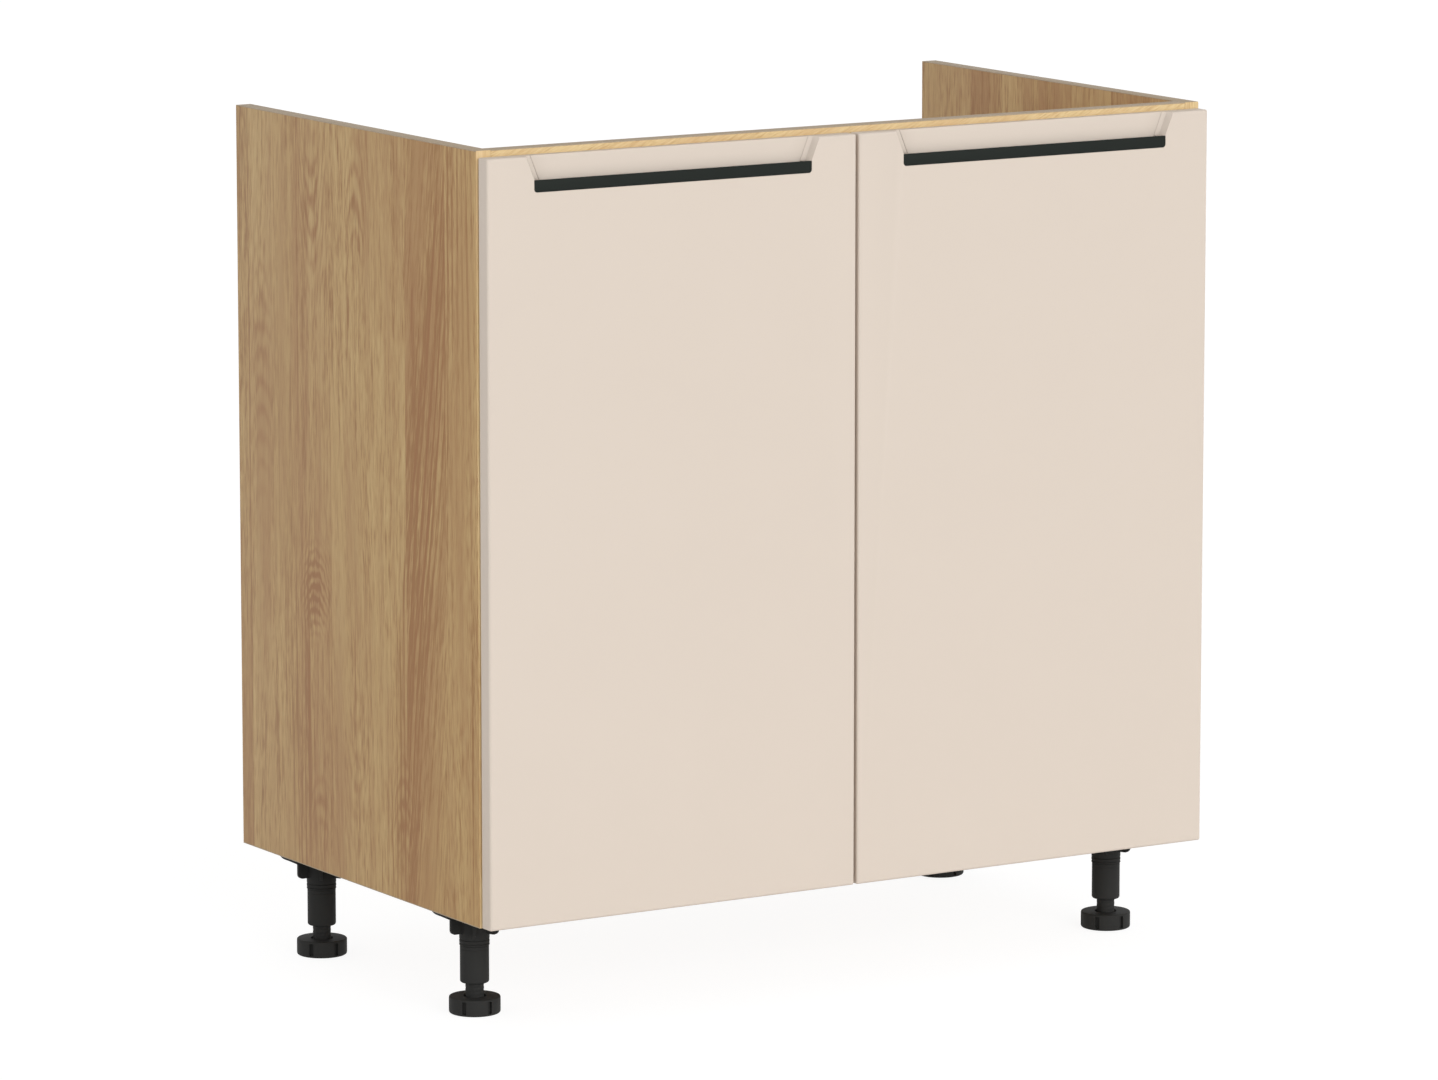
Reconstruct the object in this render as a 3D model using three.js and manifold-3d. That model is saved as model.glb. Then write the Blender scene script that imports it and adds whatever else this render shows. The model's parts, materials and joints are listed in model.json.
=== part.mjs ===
// Sink base cabinet, 80 cm unit: an open-topped carcass of 16 mm board on four adjustable legs,
// with two doors on concealed cup hinges and milled grip recesses.
// Millimetres. X runs along the front, Y from the front to the wall, Z up from the floor.
// The origin is on the floor, in the middle of the unit.

import * as THREE from 'three';
import { mergeVertices } from 'three/addons/utils/BufferGeometryUtils.js';
import { ConvexGeometry } from 'three/addons/geometries/ConvexGeometry.js';
import Module from 'manifold-3d';

const wasm = await Module();
wasm.setup();

// ---------------------------------------------------------------- driving dimensions

// Carcass
const WIDTH = 800; // over both side panels
const CARCASS_HEIGHT = 720; // side panel
const CARCASS_DEPTH = 460; // side panel, front edge to rear edge
const BOARD = 16; // every carcass board
const FRONT_RAIL_HEIGHT = 80;
const REAR_RAIL_HEIGHT = 100;
const REAR_RAIL_DROP = 80; // from the top of the carcass, room for the bowl and the taps

// Doors
const DOOR_THICKNESS = 16;
const DOOR_STANDOFF = 2; // from the carcass front to the back of a closed door
const DOOR_SIDE_INSET = 1.5; // from the outer face of the side panel
const DOOR_MIDDLE_GAP = 3; // between the two doors
const DOOR_TOP_REVEAL = 6; // front rail that shows above the doors
const DOOR_EDGE_RADIUS = 2.5; // round edge of the front face

// Grip recess, seen from the front: a trapezoid that opens at the top edge of the door
const GRIP_LENGTH = 298; // at the strip
const GRIP_FLARE = 9; // how much each end runs out towards the top edge
const GRIP_DEPTH = 7;
const GRIP_CHEEK = 8.4; // how much shorter the floor is at each end
const GRIP_CHEEK_KNEE = [4.6, 2.6]; // depth and inset where a cheek turns from steep to shallow
const GRIP_GROOVE_DEPTH = 9.5; // finger groove behind the strip
const GRIP_GROOVE_SINK = 1; // from the top of the strip down to the top of the groove
const STRIP_DROP = 33.2; // from the top edge of the door to the lower edge of the strip
const STRIP_HEIGHT = 11;
const STRIP_WALL = 2;
const STRIP_CORNER = 3;
const STRIP_TONGUE = 3; // the web's barbed end, in its kerf
const STRIP_FIT = 0.25; // round the strip in its seat

// Door bumpers
const BUMPER_RADIUS = 4;
const BUMPER_HEIGHT = 1.7;
const BUMPER_EDGE = 12; // from the free edge of the door

// Concealed hinges. In the plan of a hinge, u runs inwards from the inner face of the side panel
// and v runs rearwards from the front edge of the carcass.
const HINGE_END_DISTANCE = 100; // from the end of the door to the middle of the hinge
const CUP_RADIUS = 17.5;
const CUP_EDGE = 4; // board left between the cup and the edge of the door
const CUP_DEPTH = 12;
const CUP_WALL = 1.2;
const CUP_FLOOR = 1;
const CUP_FIT = 0.2;
const CUP_RIM = 1.2; // how far the rim covers the edge of the bore
const FLANGE_THICKNESS = 0.9;
const FLANGE_SEAT = 0.1; // between the flange and the back of the door
const FLANGE_LENGTH = 62;
const FLANGE_WIDTH = 17;
const FLANGE_CORNER = 6;
const FLANGE_SCREW_SPACING = 48;
const FLANGE_OFFSET = 5; // the wing stands this much further in than the middle of the cup
const FLANGE_SCREW_OFFSET = 6; // and its screws this much
const ARM_REAR_PIVOT = [9.8, 10.9];
const ARM_NOSE_PIVOT = [16.69, -7.81];
const CUP_EDGE_PIVOT = [-6.5, -5.02];
const CUP_INNER_PIVOT = [-2, -9.42];
const OUTER_LINK_KNEE = [1.59, -7.94];
const INNER_LINK_KNEE = [7.5, -10.4];
const PIN_RADIUS = 1.2;
const PIN_CLEARANCE = 0.25;
const EYE_WALL = 0.65;
const LINK_THICKNESS = 1.8;
const OUTER_LINK_WIDTH = 6.4;
const LINK_SIDE_CLEARANCE = 0.5;
const ARM_WALL = 1.4;
const ARM_INNER_WIDTH = 14;
const ARM_HEIGHT = 17; // from the side panel to the back of the arm
const ARM_LENGTH = 62; // from the front edge of the carcass to the rear end of the arm
const ARM_WEB_START = 10; // the channel is open in front of this, where the outer link swings
const ARM_NOSE_RADIUS = 2.7;
const ARM_REAR_WALL = 4.7; // from the rear pivot to the edge of the cheek
const ARM_FOOT_GAP = 1; // between the cheeks and the wings of the plate
const ARM_NECK = 4; // the nose widens to the full channel over this length
const ARM_PLATE_FIT = 0.3; // between a cheek and the plate's block
const PLATE_LINE = 37; // screw line of the mounting plate behind the front edge
const PLATE_THICKNESS = 2.5;
const PLATE_WING_LENGTH = 48;
const PLATE_WING_WIDTH = 16;
const PLATE_CORNER = 5;
const PLATE_SCREW_SPACING = 32;
const PLATE_BLOCK_LENGTH = 38;
const PLATE_BLOCK_HEIGHT = 9;
const ARM_SCREW_V = 47; // the machine screw that holds the arm on the plate
const ARM_SCREW_RADIUS = 2.1;
const ARM_SCREW_GRIP = 5; // how far it reaches into the plate's block
const ARM_SCREW_HEAD_RADIUS = 4.5;
const ARM_SCREW_HEAD_HEIGHT = 1.8;

// Joining fittings
const CAM_RADIUS = 7.5;
const CAM_HEIGHT = 12.2;
const CAM_END_DISTANCE = 34; // from the end of the board to the middle of the cam
const CAM_CROSS = [8, 1.6, 2]; // length, width and depth of the driver's cross
const BOLT_SHANK_RADIUS = 2.4;
const BOLT_SHANK_LENGTH = 11; // screwed into the side panel
const BOLT_SHAFT_RADIUS = 2.8;
const BOLT_HEAD_RADIUS = 3.5;
const BOLT_COLLAR_LENGTH = 3;
const BOLT_POINT = 1.5; // length of the shank's tapered end
const DOWEL_RADIUS = 4;
const DOWEL_IN_PANEL = 12; // part of the dowel in the side panel
const DOWEL_CHAMFER = 1;
const FITTING_CLEARANCE = 0.2;
const BOTTOM_BOLT_EDGE = 37; // from the front and rear edges of the bottom panel
const BOTTOM_DOWEL_EDGE = 69;
const RAIL_DOWEL_SPACING = 48;

// Wood screws
const SCREW_RADIUS = 1.6;
const SCREW_HEAD_RADIUS = 3.4;
const SCREW_HEAD_RISE = 0.8;
const SCREW_LENGTH = 12;
const SCREW_POINT = 3;
const SCREW_CLEARANCE = 0.2;

// Legs. Depths are measured down from the underside of the carcass.
const LEG_HEIGHT = 100;
const LEG_SIDE_DISTANCE = 42.4; // from the outer face of the side panel to the leg's axis
const LEG_FRONT_DISTANCE = 84; // from the carcass front
const LEG_REAR_DISTANCE = 79.5; // from the carcass rear
const FLANGE_RADIUS = 39.5;
const LEG_FLANGE_THICKNESS = 3.5;
const LEG_SCREW_CIRCLE = 31;
const SOCKET_RADIUS = 14.25;
const SOCKET_DEPTH = 35.2;
const SOCKET_WALL = 2.6;
const RIB_REACH = 22.5;
const RIB_DEPTH = 18;
const RIB_THICKNESS = 3.2;
const RIB_CORNER = 6;
const RIB_COUNT = 6;
const TUBE_RADIUS = 13.7;
const TUBE_END_DEPTH = 71;
const TUBE_CHAMFER = 2;
const TUBE_BORE_RADIUS = 9.1;
const SPIGOT_DEPTH = 8; // where the tube's spigot ends inside the socket
const LEG_FIT = 0.25;
const STEM_RADIUS = 8.75;
const STEM_TOP_DEPTH = 46;
const FOOT_RADIUS = 24.25;
const FOOT_HEIGHT = 16;
const FOOT_EDGE_RADIUS = 2;
const FOOT_COUNTERBORE_RADIUS = 10.5;
const FOOT_COUNTERBORE_DEPTH = 4;
const FOOT_NOTCH_COUNT = 6;
const FOOT_NOTCH = [4.3, 3, 12]; // width, depth and height of a grip notch
const FOOT_NOTCH_TURN = 36; // degrees from +X to the first notch
const FOOT_SOFT_TOP = 1; // broken upper edge
const STEM_COLLAR_RADIUS = 7; // the stem's neck that the foot turns on
const STEM_COLLAR_DEPTH = 8; // how far the neck reaches into the foot
const STEM_CHAMFER = 1;

// Facets round a circle
const FINE = 18;
const MEDIUM = 14;
const CAM_SIDES = 10;
const COARSE = 8;
const SCREW_SIDES = 6;

const OVERCUT = 1; // how far a tool or a joined body runs past the face that it meets

// ---------------------------------------------------------------- derived places

const DEPTH = CARCASS_DEPTH + DOOR_STANDOFF + DOOR_THICKNESS;
const DOOR_FACE_Y = -DEPTH / 2;
const DOOR_BACK_Y = DOOR_FACE_Y + DOOR_THICKNESS;
const FRONT_Y = DOOR_BACK_Y + DOOR_STANDOFF;
const REAR_Y = FRONT_Y + CARCASS_DEPTH;
const BASE_Z = LEG_HEIGHT;
const TOP_Z = BASE_Z + CARCASS_HEIGHT;
const INNER_X = WIDTH / 2 - BOARD; // inner face of a side panel
const DOOR_WIDTH = (WIDTH - DOOR_MIDDLE_GAP) / 2 - DOOR_SIDE_INSET;
const DOOR_HEIGHT = CARCASS_HEIGHT - DOOR_TOP_REVEAL;
const DOOR_HINGE_EDGE_U = DOOR_SIDE_INSET - BOARD; // hinge edge of the door in a hinge's plan
const CUP_U = DOOR_HINGE_EDGE_U + CUP_EDGE + CUP_RADIUS;
const HINGE_LEVELS = {
  lower: BASE_Z + HINGE_END_DISTANCE,
  upper: BASE_Z + DOOR_HEIGHT - HINGE_END_DISTANCE,
};
const FRONT_RAIL_MIDDLE_Z = TOP_Z - FRONT_RAIL_HEIGHT / 2;
const REAR_RAIL_MIDDLE_Z = TOP_Z - REAR_RAIL_DROP - REAR_RAIL_HEIGHT / 2;

// ---------------------------------------------------------------- colours

const FINISH = {
  oak: { color: '#a5896b', roughness: 0.62, metalness: 0 },
  lacquer: { color: '#e1d3c6', roughness: 0.5, metalness: 0 },
  blackMetal: { color: '#2c312d', roughness: 0.42, metalness: 0.6 },
  blackPlastic: { color: '#262826', roughness: 0.45, metalness: 0 },
  steel: { color: '#b4b6b8', roughness: 0.32, metalness: 0.9 },
  zinc: { color: '#c9c8c2', roughness: 0.4, metalness: 0.8 },
  beech: { color: '#cfa877', roughness: 0.7, metalness: 0 },
  clearRubber: { color: '#d9dad8', roughness: 0.35, metalness: 0 },
};

function finish(name) {
  return new THREE.MeshStandardMaterial(FINISH[name]);
}

// ---------------------------------------------------------------- solid helpers

function toSolid(geometry) {
  const bare = geometry.clone();
  bare.deleteAttribute('normal');
  bare.deleteAttribute('uv');
  const merged = mergeVertices(bare, 1e-4);
  const mesh = new wasm.Mesh({
    numProp: 3,
    vertProperties: new Float32Array(merged.attributes.position.array),
    triVerts: new Uint32Array(merged.index.array),
  });
  return new wasm.Manifold(mesh);
}

function fromSolid(solid) {
  const mesh = solid.getMesh();
  const geometry = new THREE.BufferGeometry();
  geometry.setAttribute('position', new THREE.BufferAttribute(mesh.vertProperties, 3));
  geometry.setIndex(new THREE.BufferAttribute(mesh.triVerts, 1));
  return geometry;
}

// Joins the bodies into one, and then takes the tools away from it.
function shape(bodies, tools = []) {
  let solid = toSolid(bodies[0]);
  for (const body of bodies.slice(1)) solid = solid.add(toSolid(body));
  for (const tool of tools) solid = solid.subtract(toSolid(tool));
  return fromSolid(solid);
}

function common(body, mould) {
  return fromSolid(toSolid(body).intersect(toSolid(mould)));
}

// The same piece for the other hand of the cabinet.
function mirrored(geometry) {
  const other = geometry.clone().applyMatrix4(new THREE.Matrix4().makeScale(-1, 1, 1));
  const index = other.index.array;
  for (let i = 0; i < index.length; i += 3) [index[i + 1], index[i + 2]] = [index[i + 2], index[i + 1]];
  return other;
}

// A box from its lowest to its highest corner.
function block(low, high) {
  const size = high.map((value, axis) => value - low[axis]);
  const middle = high.map((value, axis) => (value + low[axis]) / 2);
  return new THREE.BoxGeometry(...size).translate(...middle);
}

const AXIS_TURN = {
  x: (geometry) => geometry.rotateZ(-Math.PI / 2),
  y: (geometry) => geometry,
  z: (geometry) => geometry.rotateX(Math.PI / 2),
};

// A solid cylinder that starts at a point and runs along +axis, or back for a negative length.
function rod(radius, length, axis, start, sides = COARSE) {
  const geometry = AXIS_TURN[axis](new THREE.CylinderGeometry(radius, radius, Math.abs(length), sides));
  const shift = { x: 0, y: 0, z: 0 };
  shift[axis] = length / 2;
  return geometry.translate(start[0] + shift.x, start[1] + shift.y, start[2] + shift.z);
}

// A body turned round an axis: pairs of radius and height, from the axis back to the axis.
function turned(profile, sides = COARSE, axis = 'z') {
  const points = profile.map(([radius, height]) => new THREE.Vector2(radius, height));
  return AXIS_TURN[axis](new THREE.LatheGeometry(points, sides));
}

// A plate of a plan outline, from one level to another. The outline is a THREE.Shape in X and Y.
function slab(outline, bottom, top, curveSegments = 6) {
  const options = { depth: top - bottom, bevelEnabled: false, curveSegments };
  return new THREE.ExtrudeGeometry(outline, options).translate(0, 0, bottom);
}

// The outlines of a band of constant width along a bent centre line, with an eye at each end.
function bandOutlines(points, halfWidth, eyeRadius) {
  const [first, knee, last] = points.map(([x, y]) => new THREE.Vector2(x, y));
  const across = [[first, knee], [knee, last]].map(([from, to]) => {
    const along = to.clone().sub(from).normalize();
    return new THREE.Vector2(-along.y, along.x);
  });
  const mitre = across[0].clone().add(across[1]);
  mitre.multiplyScalar(1 / (1 + across[0].dot(across[1])));
  const edge = (side) => [
    first.clone().addScaledVector(across[0], side),
    knee.clone().addScaledVector(mitre, side),
    last.clone().addScaledVector(across[1], side),
  ];
  const band = new THREE.Shape([...edge(-halfWidth), ...edge(halfWidth).reverse()]);
  const eyes = [first, last].map(({ x, y }) => (
    new THREE.Shape().absarc(x, y, eyeRadius, 0, 2 * Math.PI)
  ));
  return [band, ...eyes];
}

function roundedRectangle(width, height, radius) {
  const outline = new THREE.Shape();
  const [x, y] = [width / 2, height / 2];
  outline.moveTo(-x + radius, -y);
  outline.lineTo(x - radius, -y);
  outline.absarc(x - radius, -y + radius, radius, -Math.PI / 2, 0);
  outline.absarc(x - radius, y - radius, radius, 0, Math.PI / 2);
  outline.absarc(-x + radius, y - radius, radius, Math.PI / 2, Math.PI);
  outline.absarc(-x + radius, -y + radius, radius, Math.PI, 1.5 * Math.PI);
  return outline;
}

function named(name, geometry, finishName, position = [0, 0, 0]) {
  const mesh = new THREE.Mesh(geometry, finish(finishName));
  mesh.name = name;
  mesh.position.set(...position);
  return mesh;
}

const cabinet = new THREE.Group();
const HANDS = { left: -1, right: 1 };

// ---------------------------------------------------------------- joining fittings

// Each fitting lies along X at the left end of a board. `face` says which face of the board
// the cam shows in: the underside of the bottom panel, or the inner face of a rail.
const BOTTOM_MIDDLE_Z = BASE_Z + BOARD / 2;
const RAIL_FRONT_Y = FRONT_Y + BOARD / 2;
const RAIL_REAR_Y = REAR_Y - BOARD / 2;
const BOLT_PLACES = [
  { joint: 'bottom_front', y: FRONT_Y + BOTTOM_BOLT_EDGE, z: BOTTOM_MIDDLE_Z, face: 'down' },
  { joint: 'bottom_rear', y: REAR_Y - BOTTOM_BOLT_EDGE, z: BOTTOM_MIDDLE_Z, face: 'down' },
  { joint: 'front_rail', y: RAIL_FRONT_Y, z: FRONT_RAIL_MIDDLE_Z, face: 'rear' },
  { joint: 'rear_rail', y: RAIL_REAR_Y, z: REAR_RAIL_MIDDLE_Z, face: 'front' },
];
const DOWEL_PLACES = [
  { y: FRONT_Y + BOTTOM_DOWEL_EDGE, z: BOTTOM_MIDDLE_Z },
  { y: REAR_Y - BOTTOM_DOWEL_EDGE, z: BOTTOM_MIDDLE_Z },
];
for (const sign of [-1, 1]) {
  const shift = (sign * RAIL_DOWEL_SPACING) / 2;
  DOWEL_PLACES.push({ y: RAIL_FRONT_Y, z: FRONT_RAIL_MIDDLE_Z + shift });
  DOWEL_PLACES.push({ y: RAIL_REAR_Y, z: REAR_RAIL_MIDDLE_Z + shift });
}
const CAM_FACE_AXIS = { down: ['z', -1], rear: ['y', 1], front: ['y', -1] };

// A cam's cylinder from the face of its board inwards; `grow` makes it a pocket for the cam.
function camBody(place, radius, height) {
  const [axis, sign] = CAM_FACE_AXIS[place.face];
  const start = [-INNER_X + CAM_END_DISTANCE, place.y, place.z];
  start[axis === 'z' ? 2 : 1] += (sign * BOARD) / 2;
  return rod(radius, -sign * height, axis, start, CAM_SIDES);
}

function camPocket(place) {
  return camBody(place, CAM_RADIUS + FITTING_CLEARANCE, CAM_HEIGHT + FITTING_CLEARANCE);
}

function boltHoles(place) {
  const start = [-INNER_X, place.y, place.z];
  const inPanel = BOLT_SHANK_LENGTH + FITTING_CLEARANCE;
  return {
    panelHole: rod(BOLT_SHANK_RADIUS + FITTING_CLEARANCE, -inPanel, 'x', start, SCREW_SIDES),
    boardHole: rod(BOLT_HEAD_RADIUS + FITTING_CLEARANCE, CAM_END_DISTANCE, 'x', start, SCREW_SIDES),
  };
}

function dowelHole(place) {
  const depth = DOWEL_IN_PANEL + FITTING_CLEARANCE;
  return rod(DOWEL_RADIUS + FITTING_CLEARANCE, -depth, 'x', [-INNER_X, place.y, place.z], SCREW_SIDES);
}

// The end of a glued dowel that stands out of the left end of its board.
function dowelEnd(place) {
  const profile = [
    [0, -DOWEL_IN_PANEL],
    [DOWEL_RADIUS - DOWEL_CHAMFER, -DOWEL_IN_PANEL],
    [DOWEL_RADIUS, DOWEL_CHAMFER - DOWEL_IN_PANEL],
    [DOWEL_RADIUS, OVERCUT],
    [0, OVERCUT],
  ];
  return turned(profile, SCREW_SIDES, 'x').translate(-INNER_X, place.y, place.z);
}

// The bolt, along +X from its point in the side panel to its head in the cam.
function camBolt(place) {
  const neck = CAM_END_DISTANCE - CAM_RADIUS + OVERCUT;
  const profile = [
    [0, -BOLT_SHANK_LENGTH],
    [BOLT_SHANK_RADIUS / 2, -BOLT_SHANK_LENGTH],
    [BOLT_SHANK_RADIUS, BOLT_POINT - BOLT_SHANK_LENGTH],
    [BOLT_SHANK_RADIUS, 0],
    [BOLT_HEAD_RADIUS, 0],
    [BOLT_HEAD_RADIUS, BOLT_COLLAR_LENGTH],
    [BOLT_SHAFT_RADIUS, BOLT_COLLAR_LENGTH],
    [BOLT_SHAFT_RADIUS, neck],
    [0, neck],
  ];
  return turned(profile, SCREW_SIDES, 'x').translate(-INNER_X, place.y, place.z);
}

// The cam with the bolt that it has drawn tight, and the cross for the screwdriver in its face.
function camFitting(place) {
  const [axis, sign] = CAM_FACE_AXIS[place.face];
  const faceAxis = axis === 'z' ? 2 : 1;
  const [length, width, depth] = CAM_CROSS;
  const centre = [-INNER_X + CAM_END_DISTANCE, place.y, place.z];
  centre[faceAxis] += (sign * BOARD) / 2;
  const cross = [0, 3 - faceAxis].map((acrossAxis) => {
    const half = [length / 2, length / 2, length / 2];
    half[faceAxis] = depth;
    half[acrossAxis] = width / 2;
    return block(centre.map((c, i) => c - half[i]), centre.map((c, i) => c + half[i]));
  });
  return shape([camBody(place, CAM_RADIUS, CAM_HEIGHT), camBolt(place)], cross);
}

// ---------------------------------------------------------------- wood screws

// A wood screw along -Z, with the top of its raised head a little above the origin. It is one
// piece with the fitting that it holds down, and starts `sunk` below the fitting's face.
function woodScrew(sunk) {
  const profile = [
    [0, -SCREW_LENGTH],
    [SCREW_RADIUS, SCREW_POINT - SCREW_LENGTH],
    [SCREW_RADIUS, -sunk / 2],
    [SCREW_HEAD_RADIUS, -sunk / 2],
    [SCREW_HEAD_RADIUS * 0.7, SCREW_HEAD_RISE],
    [0, SCREW_HEAD_RISE],
  ];
  return turned(profile, SCREW_SIDES);
}

// The hole for the screw's thread in the board behind the fitting.
function screwHole() {
  const depth = SCREW_LENGTH + SCREW_CLEARANCE;
  return rod(SCREW_RADIUS + SCREW_CLEARANCE, -depth, 'z', [0, 0, 0], SCREW_SIDES);
}

// ---------------------------------------------------------------- hinge places

// Screw places in a hinge's plan, with their height from the middle of the hinge.
const PLATE_SCREWS = [-1, 1].map((sign) => [PLATE_THICKNESS, PLATE_LINE, (sign * PLATE_SCREW_SPACING) / 2]);
const FLANGE_SCREWS = [-1, 1].map((sign) => [
  CUP_U + FLANGE_SCREW_OFFSET,
  FLANGE_SEAT + FLANGE_THICKNESS - DOOR_STANDOFF,
  (sign * FLANGE_SCREW_SPACING) / 2,
]);

// Turns a screw that points along -Z to point into the side panel, or into the door.
function intoPanel(geometry) {
  return geometry.rotateY(Math.PI / 2);
}

function intoDoor(geometry) {
  return geometry.rotateX(-Math.PI / 2);
}

// Moves a piece from a hinge's plan to its place on the left of the cabinet.
function atHinge(geometry, level) {
  return geometry.translate(-INNER_X, FRONT_Y, level);
}

// ---------------------------------------------------------------- carcass boards

function sidePanel() {
  const panel = block([-WIDTH / 2, FRONT_Y, BASE_Z], [-INNER_X, REAR_Y, TOP_Z]);
  const holes = [];
  for (const place of BOLT_PLACES) holes.push(boltHoles(place).panelHole);
  for (const place of DOWEL_PLACES) holes.push(dowelHole(place));
  for (const level of Object.values(HINGE_LEVELS)) {
    for (const [u, v, z] of PLATE_SCREWS) {
      holes.push(atHinge(intoPanel(screwHole()).translate(u, v, z), level));
    }
  }
  return shape([panel], holes);
}

// A board between the side panels: pockets for the cams, and dowels glued into both ends.
function crossBoard(low, high, boltPlaces, dowelPlaces, moreHoles = []) {
  const holes = boltPlaces.flatMap((place) => [camPocket(place), boltHoles(place).boardHole]);
  const dowels = dowelPlaces.map(dowelEnd);
  const rightHoles = holes.map((hole) => mirrored(shape([hole])));
  const rightDowels = dowels.map((dowel) => mirrored(shape([dowel])));
  return shape([block(low, high), ...dowels, ...rightDowels], [...holes, ...rightHoles, ...moreHoles]);
}

const LEG_X = WIDTH / 2 - LEG_SIDE_DISTANCE;
const LEG_PLACES = {
  front_left: [-LEG_X, FRONT_Y + LEG_FRONT_DISTANCE],
  front_right: [LEG_X, FRONT_Y + LEG_FRONT_DISTANCE],
  rear_left: [-LEG_X, REAR_Y - LEG_REAR_DISTANCE],
  rear_right: [LEG_X, REAR_Y - LEG_REAR_DISTANCE],
};

// Screws of one leg: four, on the diagonals of the flange.
const LEG_SCREWS = [45, 135, 225, 315].map((degrees) => {
  const angle = THREE.MathUtils.degToRad(degrees);
  return [LEG_SCREW_CIRCLE * Math.cos(angle), LEG_SCREW_CIRCLE * Math.sin(angle)];
});

// Points a screw's hole up into the bottom panel, from the underside of the leg's flange.
function intoBottom(geometry, legPlace, [dx, dy]) {
  const level = BASE_Z - LEG_FLANGE_THICKNESS;
  return geometry.rotateX(Math.PI).translate(legPlace[0] + dx, legPlace[1] + dy, level);
}

function bottomPanel() {
  const screwHoles = [];
  for (const legPlace of Object.values(LEG_PLACES)) {
    for (const offset of LEG_SCREWS) screwHoles.push(intoBottom(screwHole(), legPlace, offset));
  }
  return crossBoard(
    [-INNER_X, FRONT_Y, BASE_Z], [INNER_X, REAR_Y, BASE_Z + BOARD],
    BOLT_PLACES.slice(0, 2), DOWEL_PLACES.slice(0, 2), screwHoles,
  );
}

function inRail(middleY) {
  return (place) => place.y === middleY;
}

const frontRail = crossBoard(
  [-INNER_X, FRONT_Y, TOP_Z - FRONT_RAIL_HEIGHT], [INNER_X, FRONT_Y + BOARD, TOP_Z],
  BOLT_PLACES.filter(inRail(RAIL_FRONT_Y)), DOWEL_PLACES.filter(inRail(RAIL_FRONT_Y)),
);
const REAR_RAIL_TOP_Z = TOP_Z - REAR_RAIL_DROP;
const rearRail = crossBoard(
  [-INNER_X, REAR_Y - BOARD, REAR_RAIL_TOP_Z - REAR_RAIL_HEIGHT], [INNER_X, REAR_Y, REAR_RAIL_TOP_Z],
  BOLT_PLACES.filter(inRail(RAIL_REAR_Y)), DOWEL_PLACES.filter(inRail(RAIL_REAR_Y)),
);

const carcass = new THREE.Group();
const leftPanel = sidePanel();
carcass.add(named('side_panel_left', leftPanel, 'oak'));
carcass.add(named('side_panel_right', mirrored(leftPanel), 'oak'));
carcass.add(named('bottom_panel', bottomPanel(), 'oak'));
carcass.add(named('front_rail', frontRail, 'oak'));
carcass.add(named('rear_rail', rearRail, 'oak'));
for (const place of BOLT_PLACES) {
  const fitting = camFitting(place);
  carcass.add(named(`cam_fitting_${place.joint}_left`, fitting, 'zinc'));
  carcass.add(named(`cam_fitting_${place.joint}_right`, mirrored(fitting), 'zinc'));
}
cabinet.add(carcass);

// ---------------------------------------------------------------- doors

// A door is drawn with its hinge edge at x = 0, its face at y = 0 and its lower edge at z = 0.
const GRIP_MIDDLE_X = DOOR_WIDTH / 2;
const STRIP_Z = DOOR_HEIGHT - STRIP_DROP;
const STRIP_TOP_Z = STRIP_Z + STRIP_HEIGHT;
const FLOOR_HALF = GRIP_LENGTH / 2 - GRIP_CHEEK;

// The board, with its front edges rounded and its back edges left square.
function doorBoard() {
  const r = DOOR_EDGE_RADIUS;
  const face = new THREE.Shape([
    new THREE.Vector2(r, r),
    new THREE.Vector2(DOOR_WIDTH - r, r),
    new THREE.Vector2(DOOR_WIDTH - r, DOOR_HEIGHT - r),
    new THREE.Vector2(r, DOOR_HEIGHT - r),
  ]);
  const rounded = new THREE.ExtrudeGeometry(face, {
    depth: DOOR_THICKNESS, bevelEnabled: true, bevelThickness: r, bevelSize: r, bevelSegments: 3,
  });
  rounded.translate(0, 0, -DOOR_THICKNESS - r).rotateX(Math.PI / 2);
  const mould = block(
    [-OVERCUT, 0, -OVERCUT], [DOOR_WIDTH + OVERCUT, DOOR_THICKNESS, DOOR_HEIGHT + OVERCUT],
  );
  return common(rounded, mould);
}

// The recess above the strip. Each cheek is steep below the face and shallow above the floor.
function gripRecess() {
  const rise = DOOR_HEIGHT + OVERCUT - STRIP_TOP_Z;
  const flare = (GRIP_FLARE * rise) / (DOOR_HEIGHT - STRIP_TOP_Z);
  const [kneeDepth, kneeInset] = GRIP_CHEEK_KNEE;
  const levels = [
    [-OVERCUT, (-OVERCUT * kneeInset) / kneeDepth],
    [kneeDepth, kneeInset],
    [GRIP_DEPTH, GRIP_CHEEK],
  ];
  const points = [];
  for (const [depth, inset] of levels) {
    const half = GRIP_LENGTH / 2 - inset;
    for (const sign of [-1, 1]) {
      points.push(new THREE.Vector3(GRIP_MIDDLE_X + sign * half, depth, STRIP_TOP_Z));
      points.push(new THREE.Vector3(GRIP_MIDDLE_X + sign * (half + flare), depth, STRIP_TOP_Z + rise));
    }
  }
  return new ConvexGeometry(points);
}

// A section in depth and height, drawn out along the recess.
function alongGrip(section, halfLength) {
  const outline = new THREE.Shape(section.map(([depth, height]) => new THREE.Vector2(depth, height)));
  const bar = slab(outline, -halfLength, halfLength);
  // The section's depth becomes Y, its height Z, and the bar's length X.
  bar.applyMatrix4(new THREE.Matrix4().set(0, 0, 1, 0, 1, 0, 0, 0, 0, 1, 0, 0, 0, 0, 0, 1));
  return bar.translate(GRIP_MIDDLE_X, 0, STRIP_Z);
}

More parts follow.
